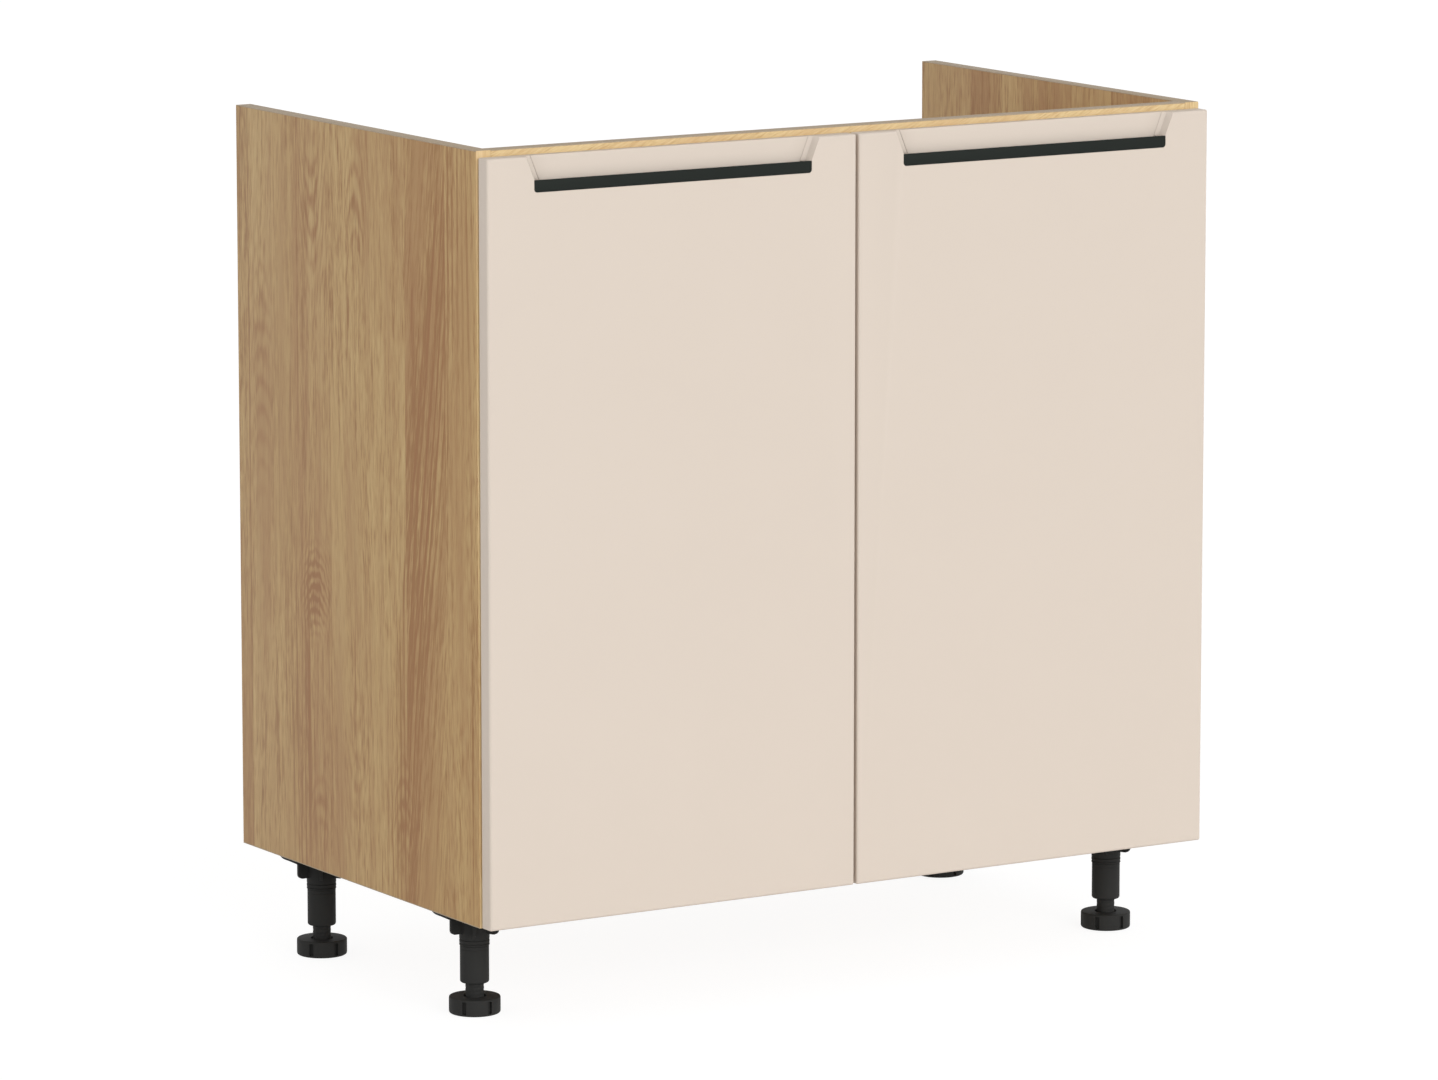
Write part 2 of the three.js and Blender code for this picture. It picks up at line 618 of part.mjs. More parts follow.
// The finger groove behind the strip. It ends just below the strip's top edge, in a slope of
// 45 degrees, so that only the floor of the recess shows above the strip.
function fingerGroove() {
  const top = STRIP_HEIGHT - GRIP_GROOVE_SINK;
  const front = STRIP_WALL / 2;
  const section = [
    [front, STRIP_WALL],
    [GRIP_GROOVE_DEPTH, STRIP_WALL],
    [GRIP_GROOVE_DEPTH, top - (GRIP_GROOVE_DEPTH - GRIP_DEPTH)],
    [GRIP_DEPTH, top],
    [GRIP_DEPTH, STRIP_HEIGHT + OVERCUT],
    [front, STRIP_HEIGHT + OVERCUT],
  ];
  return alongGrip(section, FLOOR_HALF);
}

// The front of the strip: square at the top, with two round corners below.
function stripFace(grow) {
  const outline = new THREE.Shape();
  const half = GRIP_LENGTH / 2 + grow;
  const r = STRIP_CORNER + grow;
  outline.moveTo(-half, STRIP_HEIGHT);
  outline.lineTo(-half, r - grow);
  outline.absarc(-half + r, r - grow, r, Math.PI, 1.5 * Math.PI);
  outline.absarc(half - r, r - grow, r, 1.5 * Math.PI, 2 * Math.PI);
  outline.lineTo(half, STRIP_HEIGHT);
  return outline;
}

function stripPlate(grow, front, back) {
  const plate = slab(stripFace(grow), -back, -front, 4).rotateX(Math.PI / 2);
  return plate.translate(GRIP_MIDDLE_X, 0, STRIP_Z);
}

function handleStrip() {
  const lip = stripPlate(0, 0, STRIP_WALL);
  const web = alongGrip([
    [STRIP_WALL / 2, 0],
    [GRIP_GROOVE_DEPTH + STRIP_TONGUE, 0],
    [GRIP_GROOVE_DEPTH + STRIP_TONGUE, STRIP_WALL],
    [STRIP_WALL / 2, STRIP_WALL],
  ], FLOOR_HALF - STRIP_FIT);
  return shape([lip, web]);
}

function stripSeat() {
  const seat = stripPlate(STRIP_FIT, -OVERCUT, STRIP_WALL + STRIP_FIT);
  const kerf = alongGrip([
    [0, -STRIP_FIT],
    [GRIP_GROOVE_DEPTH + STRIP_TONGUE + STRIP_FIT, -STRIP_FIT],
    [GRIP_GROOVE_DEPTH + STRIP_TONGUE + STRIP_FIT, STRIP_WALL + STRIP_FIT],
    [0, STRIP_WALL + STRIP_FIT],
  ], FLOOR_HALF);
  return [seat, kerf];
}

// The same places in the door's own frame, where x runs from the hinge edge.
const CUP_X = CUP_EDGE + CUP_RADIUS;
const DOOR_HINGE_HEIGHTS = Object.values(HINGE_LEVELS).map((level) => level - BASE_Z);

function cupBore(height) {
  const start = [CUP_X, DOOR_THICKNESS - CUP_DEPTH - CUP_FIT, height];
  return rod(CUP_RADIUS + CUP_FIT, CUP_DEPTH + OVERCUT, 'y', start, FINE);
}

function door() {
  const tools = [gripRecess(), fingerGroove(), ...stripSeat()];
  for (const height of DOOR_HINGE_HEIGHTS) {
    tools.push(cupBore(height));
    for (const [u, v, z] of FLANGE_SCREWS) {
      const toDoorFrame = [u - DOOR_HINGE_EDGE_U, DOOR_THICKNESS + DOOR_STANDOFF + v, height + z];
      tools.push(intoDoor(screwHole()).translate(...toDoorFrame));
    }
  }
  return shape([doorBoard()], tools);
}

function bumper() {
  const profile = [
    [0, 0],
    [BUMPER_RADIUS, 0],
    [BUMPER_RADIUS, BUMPER_HEIGHT * 0.45],
    [BUMPER_RADIUS * 0.75, BUMPER_HEIGHT * 0.88],
    [BUMPER_RADIUS * 0.4, BUMPER_HEIGHT],
    [0, BUMPER_HEIGHT],
  ];
  return shape([turned(profile)]).rotateX(-Math.PI / 2);
}

function bumperAt(height) {
  return bumper().translate(DOOR_WIDTH - BUMPER_EDGE, DOOR_THICKNESS, height);
}

const DOOR_PIECES = {
  door: [door(), 'lacquer'],
  handle_strip: [handleStrip(), 'blackMetal'],
};
// The bumpers meet the bottom panel and the front rail.
const BUMPERS = {
  lower: bumperAt(BOARD / 2),
  upper: bumperAt(FRONT_RAIL_MIDDLE_Z - BASE_Z),
};

for (const [hand, sign] of Object.entries(HANDS)) {
  const leaf = new THREE.Group();
  leaf.position.set(sign * (WIDTH / 2 - DOOR_SIDE_INSET), DOOR_FACE_Y, BASE_Z);
  for (const [name, [geometry, finishName]] of Object.entries(DOOR_PIECES)) {
    leaf.add(named(`${name}_${hand}`, sign < 0 ? geometry : mirrored(geometry), finishName));
  }
  for (const [level, geometry] of Object.entries(BUMPERS)) {
    const dot = sign < 0 ? geometry : mirrored(geometry);
    leaf.add(named(`door_bumper_${hand}_${level}`, dot, 'clearRubber'));
  }
  cabinet.add(leaf);
}

// ---------------------------------------------------------------- concealed hinges

// All of a hinge is drawn in its plan: u is X, v is Y, and Z is measured from its middle.
const DOOR_BACK_V = -DOOR_STANDOFF;
const BORE_RADIUS = PIN_RADIUS + PIN_CLEARANCE;
const EYE_RADIUS = BORE_RADIUS + EYE_WALL;
const CHEEK_INNER = OUTER_LINK_WIDTH / 2 + LINK_SIDE_CLEARANCE;
const CHEEK_OUTER = CHEEK_INNER + LINK_THICKNESS;

function pin(place, halfLength, radius = PIN_RADIUS) {
  return rod(radius, 2 * halfLength, 'z', [...place, -halfLength]);
}

function hingeCup() {
  const seatV = DOOR_BACK_V + FLANGE_SEAT;
  const bowl = rod(CUP_RADIUS, CUP_DEPTH + FLANGE_SEAT, 'y', [CUP_U, DOOR_BACK_V - CUP_DEPTH, 0], FINE);
  const rim = rod(CUP_RADIUS + CUP_RIM, FLANGE_THICKNESS, 'y', [CUP_U, seatV, 0], FINE);
  const outline = roundedRectangle(FLANGE_WIDTH, FLANGE_LENGTH, FLANGE_CORNER);
  const wing = slab(outline, 0, FLANGE_THICKNESS, 1);
  wing.rotateX(-Math.PI / 2).translate(CUP_U + FLANGE_OFFSET, seatV, 0);
  const hollow = rod(
    CUP_RADIUS - CUP_WALL, CUP_DEPTH + FLANGE_SEAT + FLANGE_THICKNESS, 'y',
    [CUP_U, DOOR_BACK_V - CUP_DEPTH + CUP_FLOOR, 0], FINE,
  );
  const screws = FLANGE_SCREWS.map(([u, v, z]) => (
    intoDoor(woodScrew(FLANGE_THICKNESS)).translate(u, v, z)
  ));
  const shell = shape([bowl, rim, wing, ...screws], [hollow]);
  // The pin ends in the cup's wall, just short of its outer face.
  const pinFarSide = CUP_U - CUP_EDGE_PIVOT[0] + PIN_RADIUS;
  const reach = Math.sqrt((CUP_RADIUS - CUP_FIT) ** 2 - pinFarSide ** 2);
  return shape([shell, pin(CUP_EDGE_PIVOT, reach)]);
}

function linkPlate(points, bottom, top, bores) {
  const outlines = bandOutlines(points, LINK_THICKNESS / 2, EYE_RADIUS);
  const bodies = outlines.map((outline) => slab(outline, bottom, top, 4));
  const holes = bores.map((place) => pin(place, CHEEK_OUTER + OVERCUT, BORE_RADIUS));
  return shape(bodies, holes);
}

// The outer link carries the door: from the arm's rear pivot to the pivot by the door's edge.
function outerLink() {
  const half = OUTER_LINK_WIDTH / 2;
  const points = [CUP_EDGE_PIVOT, OUTER_LINK_KNEE, ARM_REAR_PIVOT];
  return linkPlate(points, -half, half, [CUP_EDGE_PIVOT, ARM_REAR_PIVOT]);
}

// The inner link has two cheeks, joined by the pin that lies in the cup.
function innerLink() {
  const points = [CUP_INNER_PIVOT, INNER_LINK_KNEE, ARM_NOSE_PIVOT];
  const cheeks = [[-CHEEK_OUTER, -CHEEK_INNER], [CHEEK_INNER, CHEEK_OUTER]].map(
    ([bottom, top]) => linkPlate(points, bottom, top, [ARM_NOSE_PIVOT]),
  );
  return shape([...cheeks, pin(CUP_INNER_PIVOT, CHEEK_OUTER)]);
}

// The arm is a channel over the mounting plate; its two cheeks run on as the nose in the cup.
function hingeArm() {
  const inner = ARM_INNER_WIDTH / 2;
  const outer = inner + ARM_WALL;
  const [noseU, noseV] = ARM_NOSE_PIVOT;
  const foot = PLATE_THICKNESS + ARM_FOOT_GAP;
  const cheek = new THREE.Shape();
  cheek.absarc(noseU, noseV, ARM_NOSE_RADIUS, Math.PI, 2 * Math.PI);
  cheek.lineTo(noseU + ARM_NOSE_RADIUS, ARM_WEB_START - ARM_NECK);
  cheek.lineTo(ARM_HEIGHT, ARM_WEB_START);
  cheek.lineTo(ARM_HEIGHT, ARM_LENGTH);
  cheek.lineTo(foot, ARM_LENGTH);
  cheek.lineTo(foot, PLATE_LINE - PLATE_BLOCK_LENGTH / 2);
  cheek.lineTo(ARM_REAR_PIVOT[0] - ARM_REAR_WALL, ARM_REAR_PIVOT[1]);
  cheek.lineTo(noseU - ARM_NOSE_RADIUS, 1);
  const web = block([ARM_HEIGHT - ARM_WALL, ARM_WEB_START, -outer], [ARM_HEIGHT, ARM_LENGTH, outer]);
  const fixingEnd = PLATE_BLOCK_HEIGHT - ARM_SCREW_GRIP;
  const shank = rod(ARM_SCREW_RADIUS, ARM_HEIGHT - fixingEnd, 'x', [fixingEnd, ARM_SCREW_V, 0]);
  const head = rod(ARM_SCREW_HEAD_RADIUS, ARM_SCREW_HEAD_HEIGHT, 'x', [ARM_HEIGHT, ARM_SCREW_V, 0]);
  return shape([
    slab(cheek, -outer, -inner, 3), slab(cheek, inner, outer, 3), web, shank, head,
    pin(ARM_NOSE_PIVOT, inner + PIN_CLEARANCE), pin(ARM_REAR_PIVOT, inner + PIN_CLEARANCE),
  ]);
}

function mountingPlate() {
  const outline = roundedRectangle(PLATE_WING_WIDTH, PLATE_WING_LENGTH, PLATE_CORNER);
  const wing = slab(outline, 0, PLATE_THICKNESS, 1);
  wing.applyMatrix4(new THREE.Matrix4().set(0, 0, 1, 0, 1, 0, 0, PLATE_LINE, 0, 1, 0, 0, 0, 0, 0, 1));
  const half = ARM_INNER_WIDTH / 2 - ARM_PLATE_FIT;
  const ridge = block(
    [0, PLATE_LINE - PLATE_BLOCK_LENGTH / 2, -half],
    [PLATE_BLOCK_HEIGHT, PLATE_LINE + PLATE_BLOCK_LENGTH / 2, half],
  );
  const holeDepth = ARM_SCREW_GRIP + SCREW_CLEARANCE;
  const thread = rod(
    ARM_SCREW_RADIUS + SCREW_CLEARANCE, holeDepth + OVERCUT, 'x',
    [PLATE_BLOCK_HEIGHT - holeDepth, ARM_SCREW_V, 0],
  );
  const screws = PLATE_SCREWS.map(([u, v, z]) => (
    intoPanel(woodScrew(PLATE_THICKNESS)).translate(u, v, z)
  ));
  return shape([wing, ridge, ...screws], [thread]);
}

const HINGE_PIECES = {
  hinge_plate: [mountingPlate(), 'zinc'],
  hinge_arm: [hingeArm(), 'steel'],
  hinge_outer_link: [outerLink(), 'steel'],
  hinge_inner_link: [innerLink(), 'steel'],
  hinge_cup: [hingeCup(), 'steel'],
};

for (const [hand, sign] of Object.entries(HANDS)) {
  const forHand = (geometry) => (sign < 0 ? geometry : mirrored(geometry));
  const hingeSide = new THREE.Group();
  hingeSide.position.set(sign * INNER_X, FRONT_Y, 0);
  for (const [level, z] of Object.entries(HINGE_LEVELS)) {
    for (const [name, [geometry, finishName]] of Object.entries(HINGE_PIECES)) {
      hingeSide.add(named(`${name}_${hand}_${level}`, forHand(geometry), finishName, [0, 0, z]));
    }
  }
  cabinet.add(hingeSide);
}

// ---------------------------------------------------------------- legs

// A leg is drawn with its axis on Z and the underside of the carcass at z = 0.
function legMount() {
  const flange = rod(FLANGE_RADIUS, -LEG_FLANGE_THICKNESS, 'z', [0, 0, 0], FINE);
  const socket = rod(SOCKET_RADIUS, -SOCKET_DEPTH, 'z', [0, 0, 0], MEDIUM);
  const rib = new THREE.Shape();
  rib.moveTo(0, -OVERCUT);
  rib.lineTo(RIB_REACH, -OVERCUT);
  rib.lineTo(RIB_REACH, RIB_CORNER - RIB_DEPTH);
  rib.absarc(RIB_REACH - RIB_CORNER, RIB_CORNER - RIB_DEPTH, RIB_CORNER, 0, -Math.PI / 2, true);
  rib.lineTo(0, -RIB_DEPTH);
  const ribs = [];
  for (let i = 0; i < RIB_COUNT; i += 1) {
    const plate = slab(rib, -RIB_THICKNESS / 2, RIB_THICKNESS / 2, 2).rotateX(Math.PI / 2);
    ribs.push(plate.rotateZ((2 * Math.PI * i) / RIB_COUNT));
  }
  const bore = rod(
    SOCKET_RADIUS - SOCKET_WALL, -SOCKET_DEPTH, 'z', [0, 0, -LEG_FLANGE_THICKNESS], MEDIUM,
  );
  const screws = LEG_SCREWS.map(([dx, dy]) => (
    woodScrew(LEG_FLANGE_THICKNESS).rotateX(Math.PI).translate(dx, dy, -LEG_FLANGE_THICKNESS)
  ));
  return shape([flange, socket, ...ribs, ...screws], [bore]);
}

function legTube() {
  const spigot = SOCKET_RADIUS - SOCKET_WALL - LEG_FIT;
  const top = -SOCKET_DEPTH - LEG_FIT;
  const profile = [
    [TUBE_BORE_RADIUS, -SPIGOT_DEPTH],
    [TUBE_BORE_RADIUS, -TUBE_END_DEPTH],
    [TUBE_RADIUS - TUBE_CHAMFER, -TUBE_END_DEPTH],
    [TUBE_RADIUS, TUBE_CHAMFER - TUBE_END_DEPTH],
    [TUBE_RADIUS, top],
    [spigot, top],
    [spigot, -SPIGOT_DEPTH],
    [TUBE_BORE_RADIUS, -SPIGOT_DEPTH],
  ];
  return shape([turned(profile, MEDIUM)]);
}

// The stem screws in the tube; its neck turns in the foot.
function legStem() {
  const footTop = FOOT_HEIGHT - LEG_HEIGHT;
  const shoulder = footTop - FOOT_COUNTERBORE_DEPTH + LEG_FIT;
  const profile = [
    [0, shoulder - STEM_COLLAR_DEPTH],
    [STEM_COLLAR_RADIUS, shoulder - STEM_COLLAR_DEPTH],
    [STEM_COLLAR_RADIUS, shoulder],
    [STEM_RADIUS, shoulder],
    [STEM_RADIUS, -STEM_CHAMFER - STEM_TOP_DEPTH],
    [STEM_RADIUS - STEM_CHAMFER, -STEM_TOP_DEPTH],
    [0, -STEM_TOP_DEPTH],
  ];
  return shape([turned(profile, COARSE)]);
}

function legFoot() {
  const footTop = FOOT_HEIGHT - LEG_HEIGHT;
  const r = FOOT_EDGE_RADIUS;
  const profile = [[0, -LEG_HEIGHT]];
  for (const degrees of [-90, 0]) {
    const angle = THREE.MathUtils.degToRad(degrees);
    profile.push([
      FOOT_RADIUS - r + r * Math.cos(angle),
      r - LEG_HEIGHT + r * Math.sin(angle),
    ]);
  }
  profile.push([FOOT_RADIUS, footTop - FOOT_SOFT_TOP], [FOOT_RADIUS - FOOT_SOFT_TOP, footTop]);
  profile.push([0, footTop]);
  const disc = turned(profile, FINE);
  const [notchWidth, notchDepth, notchHeight] = FOOT_NOTCH;
  const notches = [];
  for (let i = 0; i < FOOT_NOTCH_COUNT; i += 1) {
    const middle = (footTop - LEG_HEIGHT) / 2;
    const notch = block(
      [FOOT_RADIUS - notchDepth, -notchWidth / 2, middle - notchHeight / 2],
      [FOOT_RADIUS + OVERCUT, notchWidth / 2, middle + notchHeight / 2],
    );
    const turn = FOOT_NOTCH_TURN + (360 * i) / FOOT_NOTCH_COUNT;
    notches.push(notch.rotateZ(THREE.MathUtils.degToRad(turn)));
  }
  const counterbore = rod(
    FOOT_COUNTERBORE_RADIUS, -FOOT_COUNTERBORE_DEPTH, 'z', [0, 0, footTop], MEDIUM,
  );
  // Fine facets, so that the neck turns in the hole without touching its flats.
  const neckHole = rod(
    STEM_COLLAR_RADIUS + LEG_FIT, -STEM_COLLAR_DEPTH - FOOT_COUNTERBORE_DEPTH, 'z',
    [0, 0, footTop], FINE,
  );
  return shape([disc], [counterbore, neckHole, ...notches]);
}

const LEG_PIECES = {
  leg_mount: [legMount(), 'blackPlastic'],
  leg_tube: [legTube(), 'blackPlastic'],
  leg_stem: [legStem(), 'blackPlastic'],
  leg_foot: [legFoot(), 'blackPlastic'],
};

for (const [place, [x, y]] of Object.entries(LEG_PLACES)) {
  const leg = new THREE.Group();
  leg.position.set(x, y, BASE_Z);
  for (const [name, [geometry, finishName]] of Object.entries(LEG_PIECES)) {
    leg.add(named(`${name}_${place}`, geometry, finishName));
  }
  cabinet.add(leg);
}

export default cabinet;
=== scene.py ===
"""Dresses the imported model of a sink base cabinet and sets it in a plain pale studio.

Every piece is drafted in millimetres in the cabinet's own frame: X along the front, Y from the
doors to the wall, Z up from the floor. A piece becomes metres when it is installed.
"""

from __future__ import annotations

import json
import logging
import math
from dataclasses import dataclass
from enum import Enum
from typing import Iterable, Sequence

import bmesh
import bpy
from mathutils import Matrix, Vector


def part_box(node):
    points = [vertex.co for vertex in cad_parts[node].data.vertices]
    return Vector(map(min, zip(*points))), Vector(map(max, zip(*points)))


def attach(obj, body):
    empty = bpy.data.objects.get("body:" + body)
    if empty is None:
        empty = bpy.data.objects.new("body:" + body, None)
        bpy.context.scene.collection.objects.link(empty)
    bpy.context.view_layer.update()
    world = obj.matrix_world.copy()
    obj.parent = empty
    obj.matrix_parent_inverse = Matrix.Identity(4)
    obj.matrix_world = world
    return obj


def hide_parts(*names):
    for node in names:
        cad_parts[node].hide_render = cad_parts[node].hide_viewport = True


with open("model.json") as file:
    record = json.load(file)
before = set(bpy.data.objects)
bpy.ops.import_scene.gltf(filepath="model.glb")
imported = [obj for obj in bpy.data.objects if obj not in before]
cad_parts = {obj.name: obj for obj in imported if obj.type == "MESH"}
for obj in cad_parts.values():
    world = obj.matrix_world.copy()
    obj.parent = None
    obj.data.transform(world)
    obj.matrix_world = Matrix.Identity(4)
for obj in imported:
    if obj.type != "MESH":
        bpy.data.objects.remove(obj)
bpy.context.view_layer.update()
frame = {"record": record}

log = logging.getLogger("cabinet")

MM = 0.001
ROUND = 64
SMALL_ROUND = 32
FINE_ROUND = 96

Point2 = tuple[float, float]
Point3 = tuple[float, float, float]
Colour = tuple[float, float, float, float]
Draft = bmesh.types.BMesh
Material = bpy.types.Material
Socket = bpy.types.NodeSocket
Tree = bpy.types.NodeTree


class Hand(Enum):
    """The half of the cabinet that a piece belongs to."""

    LEFT = "left"
    RIGHT = "right"

    @property
    def sign(self) -> int:
        """Gives the half's direction along X."""
        return -1 if self is Hand.LEFT else 1


class Level(Enum):
    """The height at which a hinge or a bumper sits on its door."""

    LOWER = "lower"
    UPPER = "upper"


class Axis(Enum):
    """A direction of the cabinet's frame."""

    X = 0
    Y = 1
    Z = 2


# ------------------------------------------------------------------ places from the frame


def corners(node: str) -> tuple[Vector, Vector]:
    """Gives a CAD node's lowest and highest corners.

    Args:
        node: The node's name.

    Returns:
        The two corners, in millimetres.
    """
    low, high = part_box(node)
    return Vector(low) / MM, Vector(high) / MM


BODY_OF = {
    node: body
    for body, nodes in frame["record"]["behaviour"]["bodies"].items()
    for node in nodes
}


# ------------------------------------------------------------------ drafting


def placed(name: str, data: bpy.types.ID) -> bpy.types.Object:
    """Makes an object of a mesh, a lamp or a camera and puts it in the scene.

    Args:
        name: The object's name.
        data: Its mesh, lamp or camera.

    Returns:
        The object.
    """
    thing = bpy.data.objects.new(name, data)
    bpy.context.collection.objects.link(thing)
    return thing


def outward(draft: Draft) -> Draft:
    """Turns the faces of a closed body outwards."""
    bmesh.ops.recalc_face_normals(draft, faces=draft.faces)
    return draft


def lathe(profile: Sequence[Point2], segments: int = ROUND) -> Draft:
    """Turns a profile round Z.

    Args:
        profile: Radius and height of each point, from the axis back to the axis, or closed.
        segments: Facets round the circle.

    Returns:
        The closed body.
    """
    draft = bmesh.new()
    angles = [math.tau * i / segments for i in range(segments)]
    rings: list[list[bmesh.types.BMVert]] = []
    for radius, height in profile:
        around = angles if radius else angles[:1]
        places = [(radius * math.cos(a), radius * math.sin(a), height) for a in around]
        rings.append([draft.verts.new(place) for place in places])
    closed = len(rings[0]) > 1
    pairs = list(zip(rings, rings[1:])) + ([(rings[-1], rings[0])] if closed else [])
    for lower, upper in pairs:
        for i in range(segments):
            j = (i + 1) % segments
            order = ((lower, i), (lower, j), (upper, j), (upper, i))
            draft.faces.new(list(dict.fromkeys(ring[k % len(ring)] for ring, k in order)))
    return outward(draft)


def rod(radius: float, low: float, high: float, segments: int = SMALL_ROUND) -> Draft:
    """Makes a plain cylinder round Z, between two heights."""
    return lathe([(0, low), (radius, low), (radius, high), (0, high)], segments)


def prism(outline: Sequence[Point2], low: float, high: float) -> Draft:
    """Raises an outline in X and Y from one height to another.

    Args:
        outline: The corners, in order.
        low: Height of the underside.
        high: Height of the top.

    Returns:
        The closed body.
    """
    draft = bmesh.new()
    bottom = [draft.verts.new((x, y, low)) for x, y in outline]
    top = [draft.verts.new((x, y, high)) for x, y in outline]
    draft.faces.new(bottom)
    draft.faces.new(top)
    for i in range(len(outline)):
        j = (i + 1) % len(outline)
        draft.faces.new([bottom[i], bottom[j], top[j], top[i]])
    return outward(draft)


def block(low: Sequence[float], high: Sequence[float]) -> Draft:
    """Makes a box between two corners."""
    plan = [(low[0], low[1]), (high[0], low[1]), (high[0], high[1]), (low[0], high[1])]
    return prism(plan, low[2], high[2])


def hull(points: Iterable[Point3]) -> Draft:
    """Makes the convex body round a set of points.

    Args:
        points: The points to enclose.

    Returns:
        The closed body.
    """
    draft = bmesh.new()
    verts = [draft.verts.new(point) for point in points]
    made = bmesh.ops.convex_hull(draft, input=verts)
    loose = [g for g in made["geom_interior"] if isinstance(g, bmesh.types.BMVert)]
    bmesh.ops.delete(draft, geom=loose, context="VERTS")
    return outward(draft)


def loft(rings: Sequence[Sequence[Point3]]) -> Draft:
    """Skins a row of rings that have equally many points, and closes both ends.

    Args:
        rings: The rings, each with its points in order.

    Returns:
        The closed body.
    """
    draft = bmesh.new()
    made = [[draft.verts.new(point) for point in ring] for ring in rings]
    count = len(made[0])
    for near, far in zip(made, made[1:]):
        for i in range(count):
            j = (i + 1) % count
            draft.faces.new([near[i], near[j], far[j], far[i]])
    draft.faces.new(made[0])
    draft.faces.new(made[-1])
    return outward(draft)


def moved(draft: Draft, *matrices: Matrix) -> Draft:
    """Puts a draft through each matrix in turn.

    Args:
        draft: The body to move.
        *matrices: The moves and turns, in order.

    Returns:
        The same body.
    """
    for matrix in matrices:
        bmesh.ops.transform(draft, matrix=matrix, verts=draft.verts)
    return draft


def shift(x: float = 0, y: float = 0, z: float = 0) -> Matrix:
    """Gives the matrix of a move."""
    return Matrix.Translation((x, y, z))


def turn(degrees: float, axis: Axis) -> Matrix:
    """Gives the matrix of a turn about a line through the origin."""
    return Matrix.Rotation(math.radians(degrees), 4, axis.name)


def arc(centre: Point2, radius: float, start: float, end: float, steps: int) -> list[Point2]:
    """Gives points along an arc.

    Args:
        centre: The arc's centre.
        radius: Its radius.
        start: Angle of the first point, in degrees.
        end: Angle of the last point, in degrees.
        steps: Number of chords.

    Returns:
        The points, both ends included.
    """
    angles = [math.radians(start + (end - start) * i / steps) for i in range(steps + 1)]
    return [(centre[0] + radius * math.cos(a), centre[1] + radius * math.sin(a)) for a in angles]


def rounded_rectangle(width: float, height: float, radius: float, steps: int = 8) -> list[Point2]:
    """Gives the outline of a rectangle about the origin with round corners.

    Args:
        width: Size in X.
        height: Size in Y.
        radius: Its corners' radius.
        steps: Chords of each corner.

    Returns:
        The corners, in order.
    """
    x, y = width / 2 - radius, height / 2 - radius
    outline: list[Point2] = []
    for centre, start in (((x, y), 0), ((-x, y), 90), ((-x, -y), 180), ((x, -y), 270)):
        outline += arc(centre, radius, start, start + 90, steps)
    return outline


class Workpiece:
    """A solid on the bench: bodies are joined to it and cut from it, and its edges are broken."""

    def __init__(self, draft: Draft) -> None:
        """Starts from one closed body."""
        self.mesh = self._mesh_of(draft)

    @staticmethod
    def _mesh_of(draft: Draft) -> bpy.types.Mesh:
        """Turns a draft into a mesh and frees the draft.

        Args:
            draft: The draft.

        Returns:
            The mesh.
        """
        mesh = bpy.data.meshes.new("draft")
        draft.to_mesh(mesh)
        draft.free()
        return mesh

    def _through(self, kind: str, **settings: object) -> None:
        """Puts the mesh through one modifier.

        Args:
            kind: The modifier's type.
            **settings: Its properties.
        """
        holder = placed("holder", self.mesh)
        modifier = holder.modifiers.new("step", kind)
        for key, value in settings.items():
            setattr(modifier, key, value)
        evaluated = holder.evaluated_get(bpy.context.evaluated_depsgraph_get())
        self.mesh = bpy.data.meshes.new_from_object(evaluated)
        bpy.data.objects.remove(holder)

    def _combine(self, drafts: Iterable[Draft], operation: str) -> Workpiece:
        """Joins or cuts each draft in turn.

        Args:
            drafts: The bodies to join or cut.
            operation: UNION or DIFFERENCE.

        Returns:
            The workpiece.
        """
        for draft in drafts:
            tool = placed("tool", self._mesh_of(draft))
            self._through("BOOLEAN", operation=operation, solver="EXACT", object=tool)
            bpy.data.objects.remove(tool)
        return self

    def join(self, *drafts: Draft) -> Workpiece:
        """Joins bodies to the workpiece."""
        return self._combine(drafts, "UNION")

    def cut(self, *drafts: Draft) -> Workpiece:
        """Takes bodies away from the workpiece."""
        return self._combine(drafts, "DIFFERENCE")

    def soften(self, width: float, segments: int = 2, sharper_than: float = 50) -> Workpiece:
        """Breaks the edges.

        Args:
            width: Width of the round, in millimetres.
            segments: Facets across the round.
            sharper_than: Angle between two faces, in degrees, from which their edge is broken.

        Returns:
            The workpiece.
        """
        self._through(
            "BEVEL", width=width, segments=segments, limit_method="ANGLE",
            angle_limit=math.radians(sharper_than), use_clamp_overlap=True, miter_outer="MITER_ARC",
        )
        return self

    def copy(self, *matrices: Matrix) -> Workpiece:
        """Gives a second workpiece, put through each matrix in turn.

        Args:
            *matrices: The moves, turns and mirrorings, in order.

        Returns:
            The copy.
        """
        other = Workpiece.__new__(Workpiece)
        other.mesh = self.mesh.copy()
        for matrix in matrices:
            other.mesh.transform(matrix)
            if matrix.determinant() < 0:
                other.mesh.flip_normals()
        return other

    def for_hand(self, hand: Hand) -> Workpiece:
        """Gives the piece for one half of the cabinet. Drafts are made for the left half."""
        return self.copy() if hand is Hand.LEFT else self.copy(Matrix.Scale(-1, 4, (1, 0, 0)))


